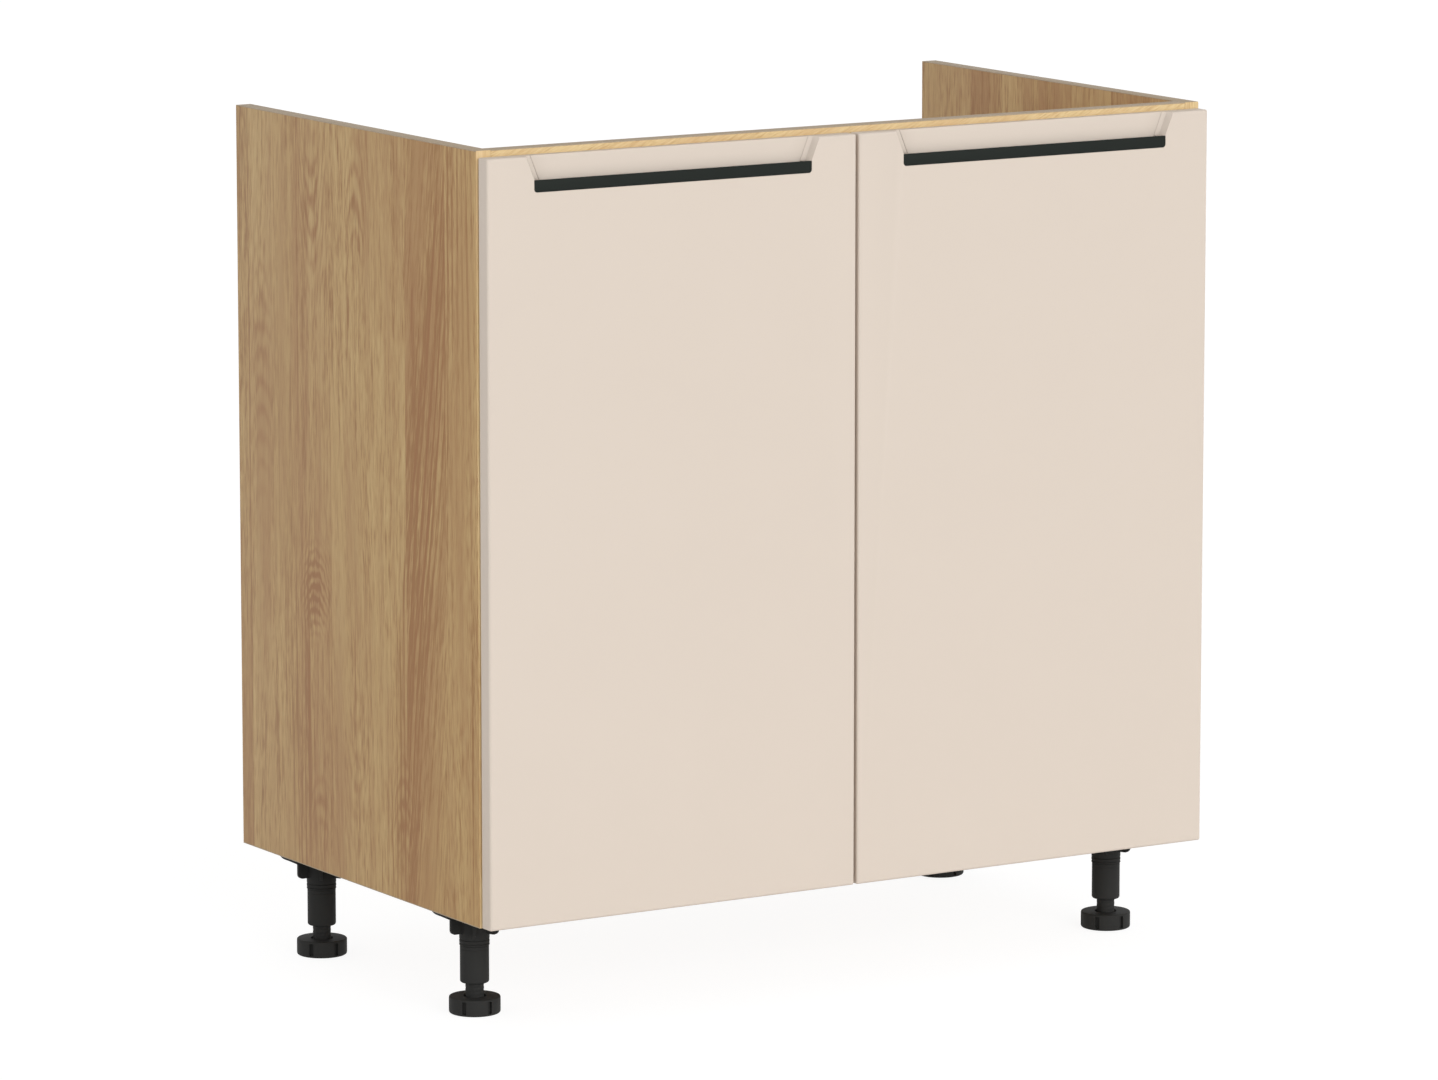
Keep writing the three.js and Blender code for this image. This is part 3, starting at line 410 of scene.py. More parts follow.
def install(
    name: str,
    work: Workpiece,
    finish: Material,
    nodes: Sequence[str],
    smooth: float = 32,
) -> bpy.types.Object:
    """Puts a finished workpiece in the scene in the place of CAD nodes.

    Args:
        name: Name of the piece.
        work: The workpiece, in millimetres.
        finish: Its material.
        nodes: The CAD nodes of one body that it stands for.
        smooth: Angle in degrees under which an edge is shaded smooth.

    Returns:
        The piece.
    """
    mesh = work.mesh.copy()
    mesh.transform(Matrix.Scale(MM, 4))
    mesh.name = name
    mesh.materials.clear()
    mesh.materials.append(finish)
    mesh.polygons.foreach_set("material_index", [0] * len(mesh.polygons))
    mesh.polygons.foreach_set("use_smooth", [True] * len(mesh.polygons))
    mesh.set_sharp_from_angle(angle=math.radians(smooth))
    piece = placed(name, mesh)
    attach(piece, BODY_OF[nodes[0]])
    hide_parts(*nodes)
    log.info("%s: %d faces, in the place of %s", name, len(mesh.polygons), ", ".join(nodes))
    return piece


# ------------------------------------------------------------------ shader building


def srgb(red: int, green: int, blue: int) -> Colour:
    """Turns a colour of 0 to 255 in each channel into linear values.

    Args:
        red: Red, from 0 to 255.
        green: Green, likewise.
        blue: Blue, likewise.

    Returns:
        The linear colour, opaque.
    """
    def linear(value: int) -> float:
        """Turns one channel into a linear value."""
        share = value / 255
        return share / 12.92 if share <= 0.04045 else ((share + 0.055) / 1.055) ** 2.4
    return (linear(red), linear(green), linear(blue), 1.0)


Value = float | Sequence[float] | Socket
Sockets = dict[str, Socket]

MIX_SHARE, MIX_FIRST, MIX_SECOND, MIX_RESULT = 0, 6, 7, 2


def shade(colour: Colour, share: float) -> Colour:
    """Gives a share of a colour's light."""
    return tuple(share * channel for channel in colour[:3]) + (1.0,)


class Graph:
    """A node tree with short ways to add the nodes that the finishes need."""

    def __init__(self, tree: Tree) -> None:
        """Works on a material's or a group's tree."""
        self.tree = tree

    def add(self, kind: str, **settings: object) -> bpy.types.Node:
        """Adds a node and sets its properties.

        Args:
            kind: The node's type.
            **settings: Its properties.

        Returns:
            The node.
        """
        node = self.tree.nodes.new(kind)
        for key, value in settings.items():
            setattr(node, key, value)
        return node

    def feed(self, socket: Socket, value: Value) -> None:
        """Links a socket to another, or sets its value.

        Args:
            socket: The input.
            value: An output to link, or a plain value.
        """
        if isinstance(value, Socket):
            self.tree.links.new(value, socket)
        else:
            socket.default_value = value

    def math(self, operation: str, *values: Value, clamp: bool = False) -> Socket:
        """Adds a Math node.

        Args:
            operation: What the node does.
            *values: Its inputs.
            clamp: Keeps the result from 0 to 1.

        Returns:
            The result.
        """
        node = self.add("ShaderNodeMath", operation=operation, use_clamp=clamp)
        for socket, value in zip(node.inputs, values):
            self.feed(socket, value)
        return node.outputs[0]

    def plus(self, first: Value, *others: Value) -> Value:
        """Adds up values.

        Args:
            first: The first value.
            *others: The others.

        Returns:
            Their sum.
        """
        for value in others:
            first = self.math("ADD", first, value)
        return first

    def minus(self, value: Value, taken: Value) -> Socket:
        """Takes a value from another."""
        return self.math("SUBTRACT", value, taken)

    def times(self, first: Value, *others: Value) -> Value:
        """Multiplies values.

        Args:
            first: The first value.
            *others: The others.

        Returns:
            Their product.
        """
        for value in others:
            first = self.math("MULTIPLY", first, value)
        return first

    def weigh(self, *terms: tuple[Value, float], plus: float = 0.0) -> Socket:
        """Adds up values, each times its weight.

        Args:
            *terms: Each value with its weight.
            plus: What is added to them.

        Returns:
            The sum.
        """
        total: Value = plus
        for value, weight in terms:
            total = self.math("MULTIPLY_ADD", value, weight, total)
        return total

    def vector(self, x: Value, y: Value, z: Value) -> Socket:
        """Adds a Combine XYZ node.

        Args:
            x: The first part.
            y: The second part.
            z: The third part.

        Returns:
            The vector.
        """
        node = self.add("ShaderNodeCombineXYZ")
        for socket, value in zip(node.inputs, (x, y, z)):
            self.feed(socket, value)
        return node.outputs[0]

    def split(self, place: Value) -> tuple[Socket, ...]:
        """Adds a Separate XYZ node.

        Args:
            place: A vector or a colour.

        Returns:
            Its three parts.
        """
        node = self.add("ShaderNodeSeparateXYZ")
        self.feed(node.inputs[0], place)
        return tuple(node.outputs)

    def noise(
        self, place: Value, scale: Value = 1.0, detail: float = 2.0, rough: float = 0.5,
    ) -> Socket:
        """Adds a Noise Texture and gives its value.

        Args:
            place: Where the noise is looked up.
            scale: Waves for each unit.
            detail: How many finer layers it has.
            rough: Strength of each finer layer.

        Returns:
            The noise, about 0.5.
        """
        node = self.add("ShaderNodeTexNoise")
        settings = {"Vector": place, "Scale": scale, "Detail": detail, "Roughness": rough}
        for name, value in settings.items():
            self.feed(node.inputs[name], value)
        return node.outputs["Fac"]

    def blend(self, share: Value, first: Value, second: Value) -> Socket:
        """Mixes two colours.

        Args:
            share: Share of the second.
            first: The first colour.
            second: The second colour.

        Returns:
            The mixed colour.
        """
        node = self.add("ShaderNodeMix", data_type="RGBA", clamp_factor=True)
        for socket, value in ((MIX_SHARE, share), (MIX_FIRST, first), (MIX_SECOND, second)):
            self.feed(node.inputs[socket], value)
        return node.outputs[MIX_RESULT]

    def ridges(self, angle: Value, sharpness: float) -> Socket:
        """Gives waves from 0 to 1 over an angle, narrowed to ridges by their sharpness."""
        wave = self.math("MULTIPLY_ADD", self.math("SINE", angle), 0.5, 0.5)
        return self.math("POWER", wave, sharpness)

    def bell(self, value: Value, centre: Value, width: Value) -> Socket:
        """Gives 1 at the centre and falls to 0 like a bell, a third of it left at the width."""
        offset = self.math("DIVIDE", self.minus(value, centre), width)
        return self.math("POWER", math.e, self.times(offset, offset, -1.0))

    def group(self, tree: Tree, **values: Value) -> Sockets:
        """Places a node group and feeds its inputs by name.

        Args:
            tree: The group.
            **values: What each named input gets.

        Returns:
            The outputs by name.
        """
        node = self.add("ShaderNodeGroup", node_tree=tree)
        for name, value in values.items():
            self.feed(node.inputs[name], value)
        return {socket.name: socket for socket in node.outputs}


def new_group(
    name: str, inputs: Sequence[str], outputs: Sequence[str], vectors: Sequence[str] = (),
) -> tuple[Graph, Sockets, Sockets]:
    """Starts a shader node group.

    Args:
        name: The group's name.
        inputs: The names of its inputs.
        outputs: The names of its outputs.
        vectors: The inputs that are places. The other sockets are plain numbers.

    Returns:
        The graph to build in, the input sockets and the output sockets, by name.
    """
    tree = bpy.data.node_groups.new(name, "ShaderNodeTree")
    for side, labels in (("INPUT", inputs), ("OUTPUT", outputs)):
        for label in labels:
            kind = "NodeSocketVector" if label in vectors else "NodeSocketFloat"
            tree.interface.new_socket(name=label, in_out=side, socket_type=kind)
    graph = Graph(tree)
    source, target = graph.add("NodeGroupInput"), graph.add("NodeGroupOutput")
    given = {label: source.outputs[label] for label in inputs}
    wanted = {label: target.inputs[label] for label in outputs}
    return graph, given, wanted


@dataclass(frozen=True)
class Waves:
    """Noise drawn out along the grain, in waves per metre, and its share in what it colours."""

    across: float
    along: float
    detail: float = 2.0
    rough: float = 0.55
    share: float = 1.0


@dataclass(frozen=True)
class OakPrint:
    """The oak print: bands, streaks, threads and pores that run along the grain."""

    slow_sway: Waves = Waves(7, 2.1, 1)
    quick_sway: Waves = Waves(24, 9, 1, share=0.16)
    bands: Waves = Waves(26, 1.7, share=0.4)
    streaks: Waves = Waves(78, 4, 3, 0.62, 0.9)
    threads: Waves = Waves(190, 7, 3, 0.62, 1.4)
    dashes: Waves = Waves(280, 30, share=1.1)
    fibres: Waves = Waves(620, 55, share=1.6)
    busy: Waves = Waves(17, 2.6, 1, share=2.6)
    busy_base: float = -0.3
    hue: Waves = Waves(14, 1.5, share=2.8)
    hue_streaks: float = 2.0
    hue_base: float = -2.2
    ring_drift: Waves = Waves(22, 1.4, 1, share=17)
    ring_radians: float = 640
    ring_sharpness: float = 3.0
    pores: Waves = Waves(900, 42, 1, share=6)
    pore_level: float = 0.64

    def build(self) -> Tree:
        """Builds the node group.

        Returns:
            A group that takes Across and Along in metres, a Seed, a Wander in metres and a Lean,
            and gives a Tone about 0, a Reddish share, a mask of long Lines, a Pores mask and a
            Relief.
        """
        graph, given, wanted = new_group(
            "oak_print",
            ("Across", "Along", "Seed", "Wander", "Lean"),
            ("Tone", "Reddish", "Lines", "Pores", "Relief"),
        )
        across, along = given["Across"], given["Along"]

        def noise(waves: Waves, start: Value) -> Socket:
            """Gives a layer of noise, from a place across the grain.

            Args:
                waves: The layer's waves.
                start: The place across the grain.

            Returns:
                The noise, about 0.5.
            """
            wide, long = graph.times(start, waves.across), graph.times(along, waves.along)
            place = graph.vector(wide, long, given["Seed"])
            return graph.noise(place, 1.0, waves.detail, waves.rough)

        def about_zero(*layers: tuple[Waves, Value]) -> Value:
            """Adds up layers by their shares, with 0 as the middle."""
            terms = [(value, waves.share) for waves, value in layers]
            return graph.weigh(*terms, plus=-sum(share for _, share in terms) / 2)

        sway = about_zero(*((w, noise(w, across)) for w in (self.slow_sway, self.quick_sway)))
        slant = graph.times(along, given["Lean"])
        line = graph.plus(across, graph.times(sway, given["Wander"]), slant)
        layers = (self.bands, self.streaks, self.threads, self.dashes, self.fibres)
        bands, streaks, threads, dashes, fibres = ((w, noise(w, line)) for w in layers)
        busy = graph.math(
            "MULTIPLY_ADD", noise(self.busy, line), self.busy.share, self.busy_base, clamp=True,
        )
        tone = graph.math(
            "MULTIPLY_ADD", about_zero(threads, dashes, fibres), busy, about_zero(bands, streaks),
        )
        drift = (noise(self.ring_drift, line), self.ring_drift.share)
        hue = (noise(self.hue, line), self.hue.share)
        pores = graph.minus(noise(self.pores, line), self.pore_level)
        made = {
            "Tone": tone,
            "Lines": graph.ridges(
                graph.weigh((line, self.ring_radians), drift), self.ring_sharpness,
            ),
            "Reddish": graph.weigh(hue, (streaks[1], self.hue_streaks), plus=self.hue_base),
            "Pores": graph.math("MULTIPLY", pores, self.pores.share, clamp=True),
            "Relief": graph.weigh((fibres[1], 0.5), (threads[1], 0.5)),
        }
        for name, value in made.items():
            graph.feed(wanted[name], value)
        return graph.tree


@dataclass(frozen=True)
class GrowthArches:
    """Nested arches of late wood, as a board shows where it is cut along its rings."""

    jag_across: float = 1.3
    jag_along: float = 0.4
    jag: float = 1.7
    sharpness: float = 1.6

    def build(self) -> Tree:
        """Builds the node group.

        Returns:
            A group that takes Across and Along in metres from the arches' middle, their Width and
            Height, how Steep their flanks are per metre, the Pitch between two of them and a Seed,
            and gives the Lines' mask, which fades with Near towards the figure's edge.
        """
        graph, given, wanted = new_group(
            "growth_arches",
            ("Across", "Along", "Width", "Height", "Steep", "Pitch", "Seed"),
            ("Lines", "Near"),
        )
        across, along, pitch = given["Across"], given["Along"], given["Pitch"]
        wide = graph.times(graph.math("DIVIDE", across, pitch), self.jag_across)
        tall = graph.times(graph.math("DIVIDE", along, pitch), self.jag_along)
        uneven = graph.noise(graph.vector(wide, tall, given["Seed"]), 1.0, 3, 0.6)
        jagged = graph.times(graph.minus(uneven, 0.5), pitch, self.jag)
        level = graph.plus(along, graph.times(across, across, given["Steep"]), jagged)
        turns = graph.times(graph.math("DIVIDE", level, pitch), math.tau)
        near = graph.times(
            graph.bell(across, 0.0, given["Width"]), graph.bell(along, 0.0, given["Height"]),
        )
        graph.feed(wanted["Lines"], graph.times(graph.ridges(turns, self.sharpness), near))
        graph.feed(wanted["Near"], near)
        return graph.tree


@dataclass(frozen=True)
class HandlingMarks:
    """The slight unevenness that every moulded, painted or plated surface has."""

    mottle_scale: float = 9.0
    uneven_scale: float = 41.0

    def build(self) -> Tree:
        """Builds the node group.

        Returns:
            A group that takes a Place in metres and a Grain size in millimetres, and gives a slow
            Mottle, a fine Tooth and an Uneven value for roughness, each about 0.5.
        """
        graph, given, wanted = new_group(
            "handling_marks", ("Place", "Grain"), ("Mottle", "Tooth", "Uneven"), ("Place",),
        )
        place, per_metre = given["Place"], graph.math("DIVIDE", 1 / MM, given["Grain"])
        graph.feed(wanted["Mottle"], graph.noise(place, self.mottle_scale, 3))
        graph.feed(wanted["Tooth"], graph.noise(place, per_metre, 2))
        graph.feed(wanted["Uneven"], graph.noise(place, self.uneven_scale, 4, 0.6))
        return graph.tree


OAK_PRINT = OakPrint().build()
GROWTH_ARCHES = GrowthArches().build()
HANDLING_MARKS = HandlingMarks().build()


def shaded(
    name: str, roughness: float, metallic: float = 0.0, specular: float = 0.5,
) -> tuple[Material, Graph, bpy.types.Node]:
    """Starts a material.

    Args:
        name: The material's name.
        roughness: Its middle roughness.
        metallic: 1 for bare metal.
        specular: Level of its mirror-like share, 0.5 for a common plastic.

    Returns:
        The material, its graph and its Principled BSDF.
    """
    material = bpy.data.materials.new(name)
    material.use_nodes = True
    graph = Graph(material.node_tree)
    bsdf = material.node_tree.nodes["Principled BSDF"]
    bsdf.inputs["Roughness"].default_value = roughness
    bsdf.inputs["Metallic"].default_value = metallic
    bsdf.inputs["Specular IOR Level"].default_value = specular
    return material, graph, bsdf


def raise_bump(
    graph: Graph, bsdf: bpy.types.Node, height: Value, depth_mm: float, strength: float = 1.0,
) -> None:
    """Feeds a height to the shader's normal, with its depth in millimetres.

    Args:
        graph: The material's graph.
        bsdf: Its Principled BSDF.
        height: The relief's height, from 0 to 1.
        depth_mm: The relief's full depth.
        strength: Share of the relief that shows.
    """
    bump = graph.add("ShaderNodeBump")
    bump.inputs["Strength"].default_value = strength
    bump.inputs["Distance"].default_value = depth_mm * MM
    graph.feed(bump.inputs["Height"], height)
    graph.feed(bsdf.inputs["Normal"], bump.outputs[0])


@dataclass(frozen=True)
class OakTones:
    """The colours of an oak print."""

    pale: Colour
    middle: Colour
    brown: Colour
    red: Colour


@dataclass(frozen=True)
class Stave:
    """One of the printed staves, side by side across the grain. It starts there, in metres."""

    start: float
    tone: float = 0.0
    reddish: float = 0.0
    lean: float = 0.0


@dataclass(frozen=True)
class Streak:
    """A dark streak along the grain, or with a small width a fine line. Sizes are in metres."""

    across: float
    width: float
    share: float
    lean: float = 0.0
    along: float = 0.45
    reach: float = 4.0


@dataclass(frozen=True)
class Arches:
    """Nested arches in the grain: they open downwards, or upwards where steep is below 0."""

    across: float
    along: float
    width: float
    height: float
    steep: float
    pitch: float
    share: float
    push: float = 0.0


@dataclass(frozen=True)
class OakDecor:
    """Particle board under a printed oak foil, or an edge band with the same print."""

    name: str
    along: Axis
    across: Axis
    tones: OakTones
    staves: tuple[Stave, ...]
    seed: float
    streaks: tuple[Streak, ...] = ()
    arches: tuple[Arches, ...] = ()
    wander: float = 0.014
    fineness: float = 1.0
    roughness: float = 0.55
    specular: float = 0.3
    rough_spread: float = 0.16
    line_share: float = -0.1
    hue_share: float = 0.8
    red_share: float = 0.75
    dark_tone: float = 0.5
    dark_red: float = 0.6
    wide_streak: float = 0.006
    lined_share: float = 0.8
    pore_share: float = 0.3
    pore_shade: float = 0.5
    pore_relief: float = -0.8
    relief_mm: float = 0.05
    relief_strength: float = 0.5

    def material(self) -> Material:
        """Builds the material.

        Returns:
            The material.
        """
        material, graph, bsdf = shaded(self.name, self.roughness, specular=self.specular)
        place = graph.split(graph.add("ShaderNodeTexCoord").outputs["Object"])
        across, along = place[self.across.value], place[self.along.value]
        tone, reddish, lean, seed = self._stave_values(graph, across)
        figured = [self._figure(graph, arches, across, along) for arches in self.arches]
        line = graph.times(graph.plus(across, *(push for _, push in figured)), self.fineness)
        made = graph.group(
            OAK_PRINT, Across=line, Along=graph.times(along, self.fineness), Seed=seed,
            Wander=self.wander, Lean=lean,
        )
        tone = graph.plus(
            tone, graph.math("MULTIPLY_ADD", made["Lines"], self.line_share, made["Tone"]),
        )
        reddish = graph.plus(reddish, graph.times(made["Reddish"], self.hue_share))
        masks = [self._streak(graph, s, across, along, made["Lines"]) for s in self.streaks]
        dark = graph.plus(0.0, *masks, *(lines for lines, _ in figured))
        tone = graph.math("SUBTRACT", tone, graph.times(dark, self.dark_tone), clamp=True)
        reddish = graph.math("MULTIPLY_ADD", dark, self.dark_red, reddish, clamp=True)
        graph.feed(bsdf.inputs["Base Color"], self._colour(graph, tone, reddish, made["Pores"]))
        middle = self.roughness - self.rough_spread / 2
        rough = graph.weigh((made["Relief"], self.rough_spread), plus=middle)
        graph.feed(bsdf.inputs["Roughness"], rough)
        relief = graph.weigh((made["Relief"], 1.0), (made["Pores"], self.pore_relief))
        raise_bump(graph, bsdf, relief, self.relief_mm, self.relief_strength)
        return material

    def _colour(self, graph: Graph, tone: Value, reddish: Value, pores: Value) -> Value:
        """Mixes the wood's colour: brown below a tone of 0.5, pale above it.

        Args:
            graph: The material's graph.
            tone: From brown at 0 to pale at 1.
            reddish: Share of the red.
            pores: The pores' mask.

        Returns:
            The colour.
        """
        tones = self.tones
        darker = graph.math("MULTIPLY", tone, 2.0, clamp=True)
        colour = graph.blend(darker, tones.brown, tones.middle)
        colour = graph.blend(graph.weigh((tone, 2.0), plus=-1.0), colour, tones.pale)
        colour = graph.blend(graph.times(reddish, self.red_share), colour, tones.red)
        pore_colour = shade(tones.brown, self.pore_shade)
        return graph.blend(graph.times(pores, self.pore_share), colour, pore_colour)

    def _stave_values(self, graph: Graph, across: Value) -> tuple[Value, ...]:
        """Looks up the stave's tone about 0.5, reddish share, lean and seed.

        Args:
            graph: The material's graph.
            across: The place across the grain.

        Returns:
            The four values.
        """
        low = self.staves[0].start
        span = self.staves[-1].start - low + STAVE_WIDTH
        ramp = graph.add("ShaderNodeValToRGB")
        ramp.color_ramp.interpolation = "CONSTANT"
        stops = ramp.color_ramp.elements
        for i, stave in enumerate(self.staves):
            stop = stops[i] if i < len(stops) else stops.new(1.0)
            stop.position = (stave.start - low) / span
            stop.color = (0.5 + stave.tone, stave.reddish, 0.5 + stave.lean, 1.0)
        graph.feed(ramp.inputs["Fac"], graph.math("DIVIDE", graph.minus(across, low), span))
        values = graph.split(ramp.outputs["Color"])
        seed = graph.weigh(*zip(values, STAVE_SEEDS), plus=self.seed)
        tone, reddish, lean = values
        return tone, reddish, graph.minus(lean, 0.5), seed

    def _streak(
        self, graph: Graph, streak: Streak, across: Value, along: Value, lines: Value,
    ) -> Value:
        """Gives the mask of a dark streak. A wide one is made of lines.

        Args:
            graph: The material's graph.
            streak: The streak.
            across: The place across the grain.
            along: The place along it.
            lines: The print's mask of lines.

        Returns:
            The mask.
        """
        start = streak.across - streak.lean * streak.along
        middle = graph.math("MULTIPLY_ADD", along, streak.lean, start)
        mask = graph.times(
            graph.bell(across, middle, streak.width), streak.share,
            graph.bell(along, streak.along, streak.reach),
        )
        lined = self.lined_share if streak.width > self.wide_streak else 0.0
        return graph.times(mask, graph.weigh((lines, lined), plus=1 - lined))

    def _figure(
        self, graph: Graph, arches: Arches, across: Value, along: Value,
    ) -> tuple[Value, Value]:
        """Gives the dark lines of nested arches, and how far they push the grain aside.

        Args:
            graph: The material's graph.
            arches: The figure.
            across: The place across the grain.
            along: The place along it.

        Returns:
            The lines' mask, and the push in metres.
        """
        side, up = graph.minus(across, arches.across), graph.minus(along, arches.along)
        made = graph.group(
            GROWTH_ARCHES, Across=side, Along=up, Width=arches.width, Height=arches.height,
            Steep=arches.steep, Pitch=arches.pitch, Seed=self.seed + arches.across,
        )
        push = graph.times(side, made["Near"], -arches.push)
        return graph.times(made["Lines"], arches.share), push


@dataclass(frozen=True)
class RawBoard:
    """Cut particle board with no band on it: pale chips in a grey-beige ground."""

    name: str
    ground: Colour
    chip: Colour
    roughness: float = 0.8
    chips_scale: float = 520
    chip_share: float = 0.8
    tooth_share: float = 0.6
    least_share: float = -0.2
    grain_mm: float = 0.6
    relief_mm: float = 0.15
    relief_strength: float = 0.5

    def material(self) -> Material:
        """Builds the material.

        Returns:
            The material.
        """
        material, graph, bsdf = shaded(self.name, self.roughness)
        place = graph.add("ShaderNodeTexCoord").outputs["Object"]
        chips = graph.add("ShaderNodeTexVoronoi")
        graph.feed(chips.inputs["Vector"], place)
        graph.feed(chips.inputs["Scale"], self.chips_scale)
        marks = graph.group(HANDLING_MARKS, Place=place, Grain=self.grain_mm)
        shares = ((chips.outputs["Distance"], self.chip_share), (marks["Tooth"], self.tooth_share))
        share = graph.weigh(*shares, plus=self.least_share)
        graph.feed(bsdf.inputs["Base Color"], graph.blend(share, self.ground, self.chip))
        raise_bump(graph, bsdf, chips.outputs["Distance"], self.relief_mm, self.relief_strength)
        return material


@dataclass(frozen=True)
class SmoothFinish:
    """A lacquered, moulded, plated or anodised surface in one colour with fine unevenness. It can
    also darken its colour in creases and hollows as painted shade.
    """

    name: str
    colour: Colour
    other: Colour
    roughness: float
    metallic: float = 0.0
    grain_mm: float = 0.9
    relief_mm: float = 0.004
    uneven: float = 0.08
    brushed: Axis | None = None
    brush_stretch: float = 0.012
    brush_scale: float = 2600
    specular: float = 0.5
    # Strength, reach, tone and samples of the painted shade that darkens the colour in creases.
    painted_crease_shade: float = 0.0
    painted_crease_reach_mm: float = 22.0
    painted_crease_tone: float = 0.4
    painted_crease_samples: int = 16
    relief_strength: float = 0.6

    def material(self) -> Material:
        """Builds the material.

        Returns:
            The material.
        """
        material, graph, bsdf = shaded(self.name, self.roughness, self.metallic, self.specular)
        place: Value = graph.add("ShaderNodeTexCoord").outputs["Object"]
        marks = graph.group(HANDLING_MARKS, Place=place, Grain=self.grain_mm)
        colour = graph.blend(marks["Mottle"], self.colour, self.other)
        # Painted shade: ambient occlusion darkens the colour in creases and hollows, where less
        # light falls.
        if self.painted_crease_shade:
            kind, samples = "ShaderNodeAmbientOcclusion", self.painted_crease_samples
            hollow = graph.add(kind, only_local=True, samples=samples)
            hollow.inputs["Distance"].default_value = self.painted_crease_reach_mm * MM
            depth = graph.minus(1.0, hollow.outputs["AO"])
            share = graph.math("MULTIPLY", depth, self.painted_crease_shade, clamp=True)
            colour = graph.blend(share, colour, shade(self.colour, self.painted_crease_tone))
        graph.feed(bsdf.inputs["Base Color"], colour)
        middle = self.roughness - self.uneven / 2
        rough = graph.weigh((marks["Uneven"], self.uneven), plus=middle)
        height: Value = marks["Tooth"]
        if self.brushed is not None:
            stretch = [1.0, 1.0, 1.0]
            stretch[self.brushed.value] = self.brush_stretch
            lines = [graph.times(part, pull) for part, pull in zip(graph.split(place), stretch)]
            height = graph.noise(graph.vector(*lines), self.brush_scale, 2)
            rough = graph.math("MULTIPLY_ADD", height, self.uneven, rough)
        graph.feed(bsdf.inputs["Roughness"], rough)
        raise_bump(graph, bsdf, height, self.relief_mm, self.relief_strength)
        return material


# ------------------------------------------------------------------ finishes of this cabinet

OAK = OakTones(
    pale=srgb(207, 178, 127), middle=srgb(194, 160, 111), brown=srgb(165, 124, 81),
    red=srgb(162, 115, 77),
)
PALE_OAK = OakTones(
    pale=srgb(236, 212, 164), middle=srgb(228, 202, 151), brown=srgb(208, 174, 124),
    red=srgb(208, 168, 122),
)
STAVE_WIDTH = 0.065
STAVE_SEEDS = (31.0, 17.0, 23.0)
SIDE_STAVES = (
    Stave(-0.232, 0.05, 0.05), Stave(-0.162, -0.08, 0.2, 0.13), Stave(-0.089, 0.12, 0.0),
    Stave(-0.034, 0.11, 0.0, -0.03), Stave(0.057, 0.03, 0.08, 0.02), Stave(0.120, -0.03, 0.1),
    Stave(0.168, 0.08, 0.0, 0.03), Stave(0.217, -0.04, 0.12),
)
SIDE_STREAKS = (
    Streak(-0.124, 0.030, 1.15, -0.16, 0.48, 0.45), Streak(-0.112, 0.0022, 0.9, -0.2, 0.55, 0.12),
    Streak(-0.096, 0.002, 0.9, -0.1, 0.33, 0.10), Streak(-0.130, 0.002, 0.9, -0.2, 0.66, 0.10),
    Streak(-0.120, 0.0016, 0.8, -0.22, 0.42, 0.09), Streak(-0.104, 0.0015, 0.8, -0.12, 0.45, 0.08),
    Streak(-0.103, 0.004, 0.6, 0.03, 0.62, 0.10), Streak(0.103, 0.0035, 1.3, 0.02, 0.25, 0.09),
    Streak(0.112, 0.018, 1.2, 0.0, 0.22, 0.20), Streak(0.012, 0.0016, 0.9, 0.0, 0.30, 0.05),
    Streak(-0.205, 0.010, 0.5, 0.0, 0.70, 0.12), Streak(-0.210, 0.0015, 0.8, 0.0, 0.25, 0.15),
    Streak(0.120, 0.001, 1.0, 0.0, 0.66, 0.14), Streak(0.217, 0.001, 0.9),
    Streak(-0.162, 0.001, 0.7, 0.0, 0.65, 0.2), Streak(0.057, 0.0008, 0.5),
    Streak(0.088, 0.010, -0.8, 0.0, 0.336, 0.013),
)
SIDE_ARCHES = (
    Arches(0.007, 0.745, 0.026, 0.062, 150, 0.032, 0.8, 0.1),
    Arches(0.090, 0.735, 0.026, 0.070, -124, 0.030, 0.8),
    Arches(0.088, 0.372, 0.020, 0.032, 36, 0.0115, 1.6, 0.4),
    Arches(0.010, 0.215, 0.026, 0.085, -110, 0.030, 0.4),
    Arches(-0.080, 0.190, 0.018, 0.045, 90, 0.021, 0.6, 0.2),
    Arches(0.192, 0.580, 0.016, 0.120, 60, 0.027, 0.5),
    Arches(0.080, 0.165, 0.020, 0.030, 60, 0.021, 0.5, 0.2),
)
BOARD_STAVES = (
    Stave(-0.232, 0.05), Stave(-0.170, -0.05, 0.15), Stave(-0.098, 0.1),
    Stave(-0.031, 0.0, 0.1, 0.03), Stave(0.028, 0.08), Stave(0.096, -0.08, 0.2),
    Stave(0.149, 0.06), Stave(0.205, 0.0, 0.1),
)
FAR_SIDE_ARCHES = (
    Arches(-0.060, 0.520, 0.022, 0.060, 90, 0.021, 0.9, 0.2),
    Arches(0.125, 0.300, 0.024, 0.080, -110, 0.028, 0.7),
)
RAIL_STAVES = (Stave(0.720, 0.0, 0.05, -0.12), Stave(0.781, 0.02, 0.0, -0.45))
EDGE_STAVES = (Stave(-0.400, 0.0, 0.05, 0.02), Stave(0.0, 0.02, 0.0, 0.02))


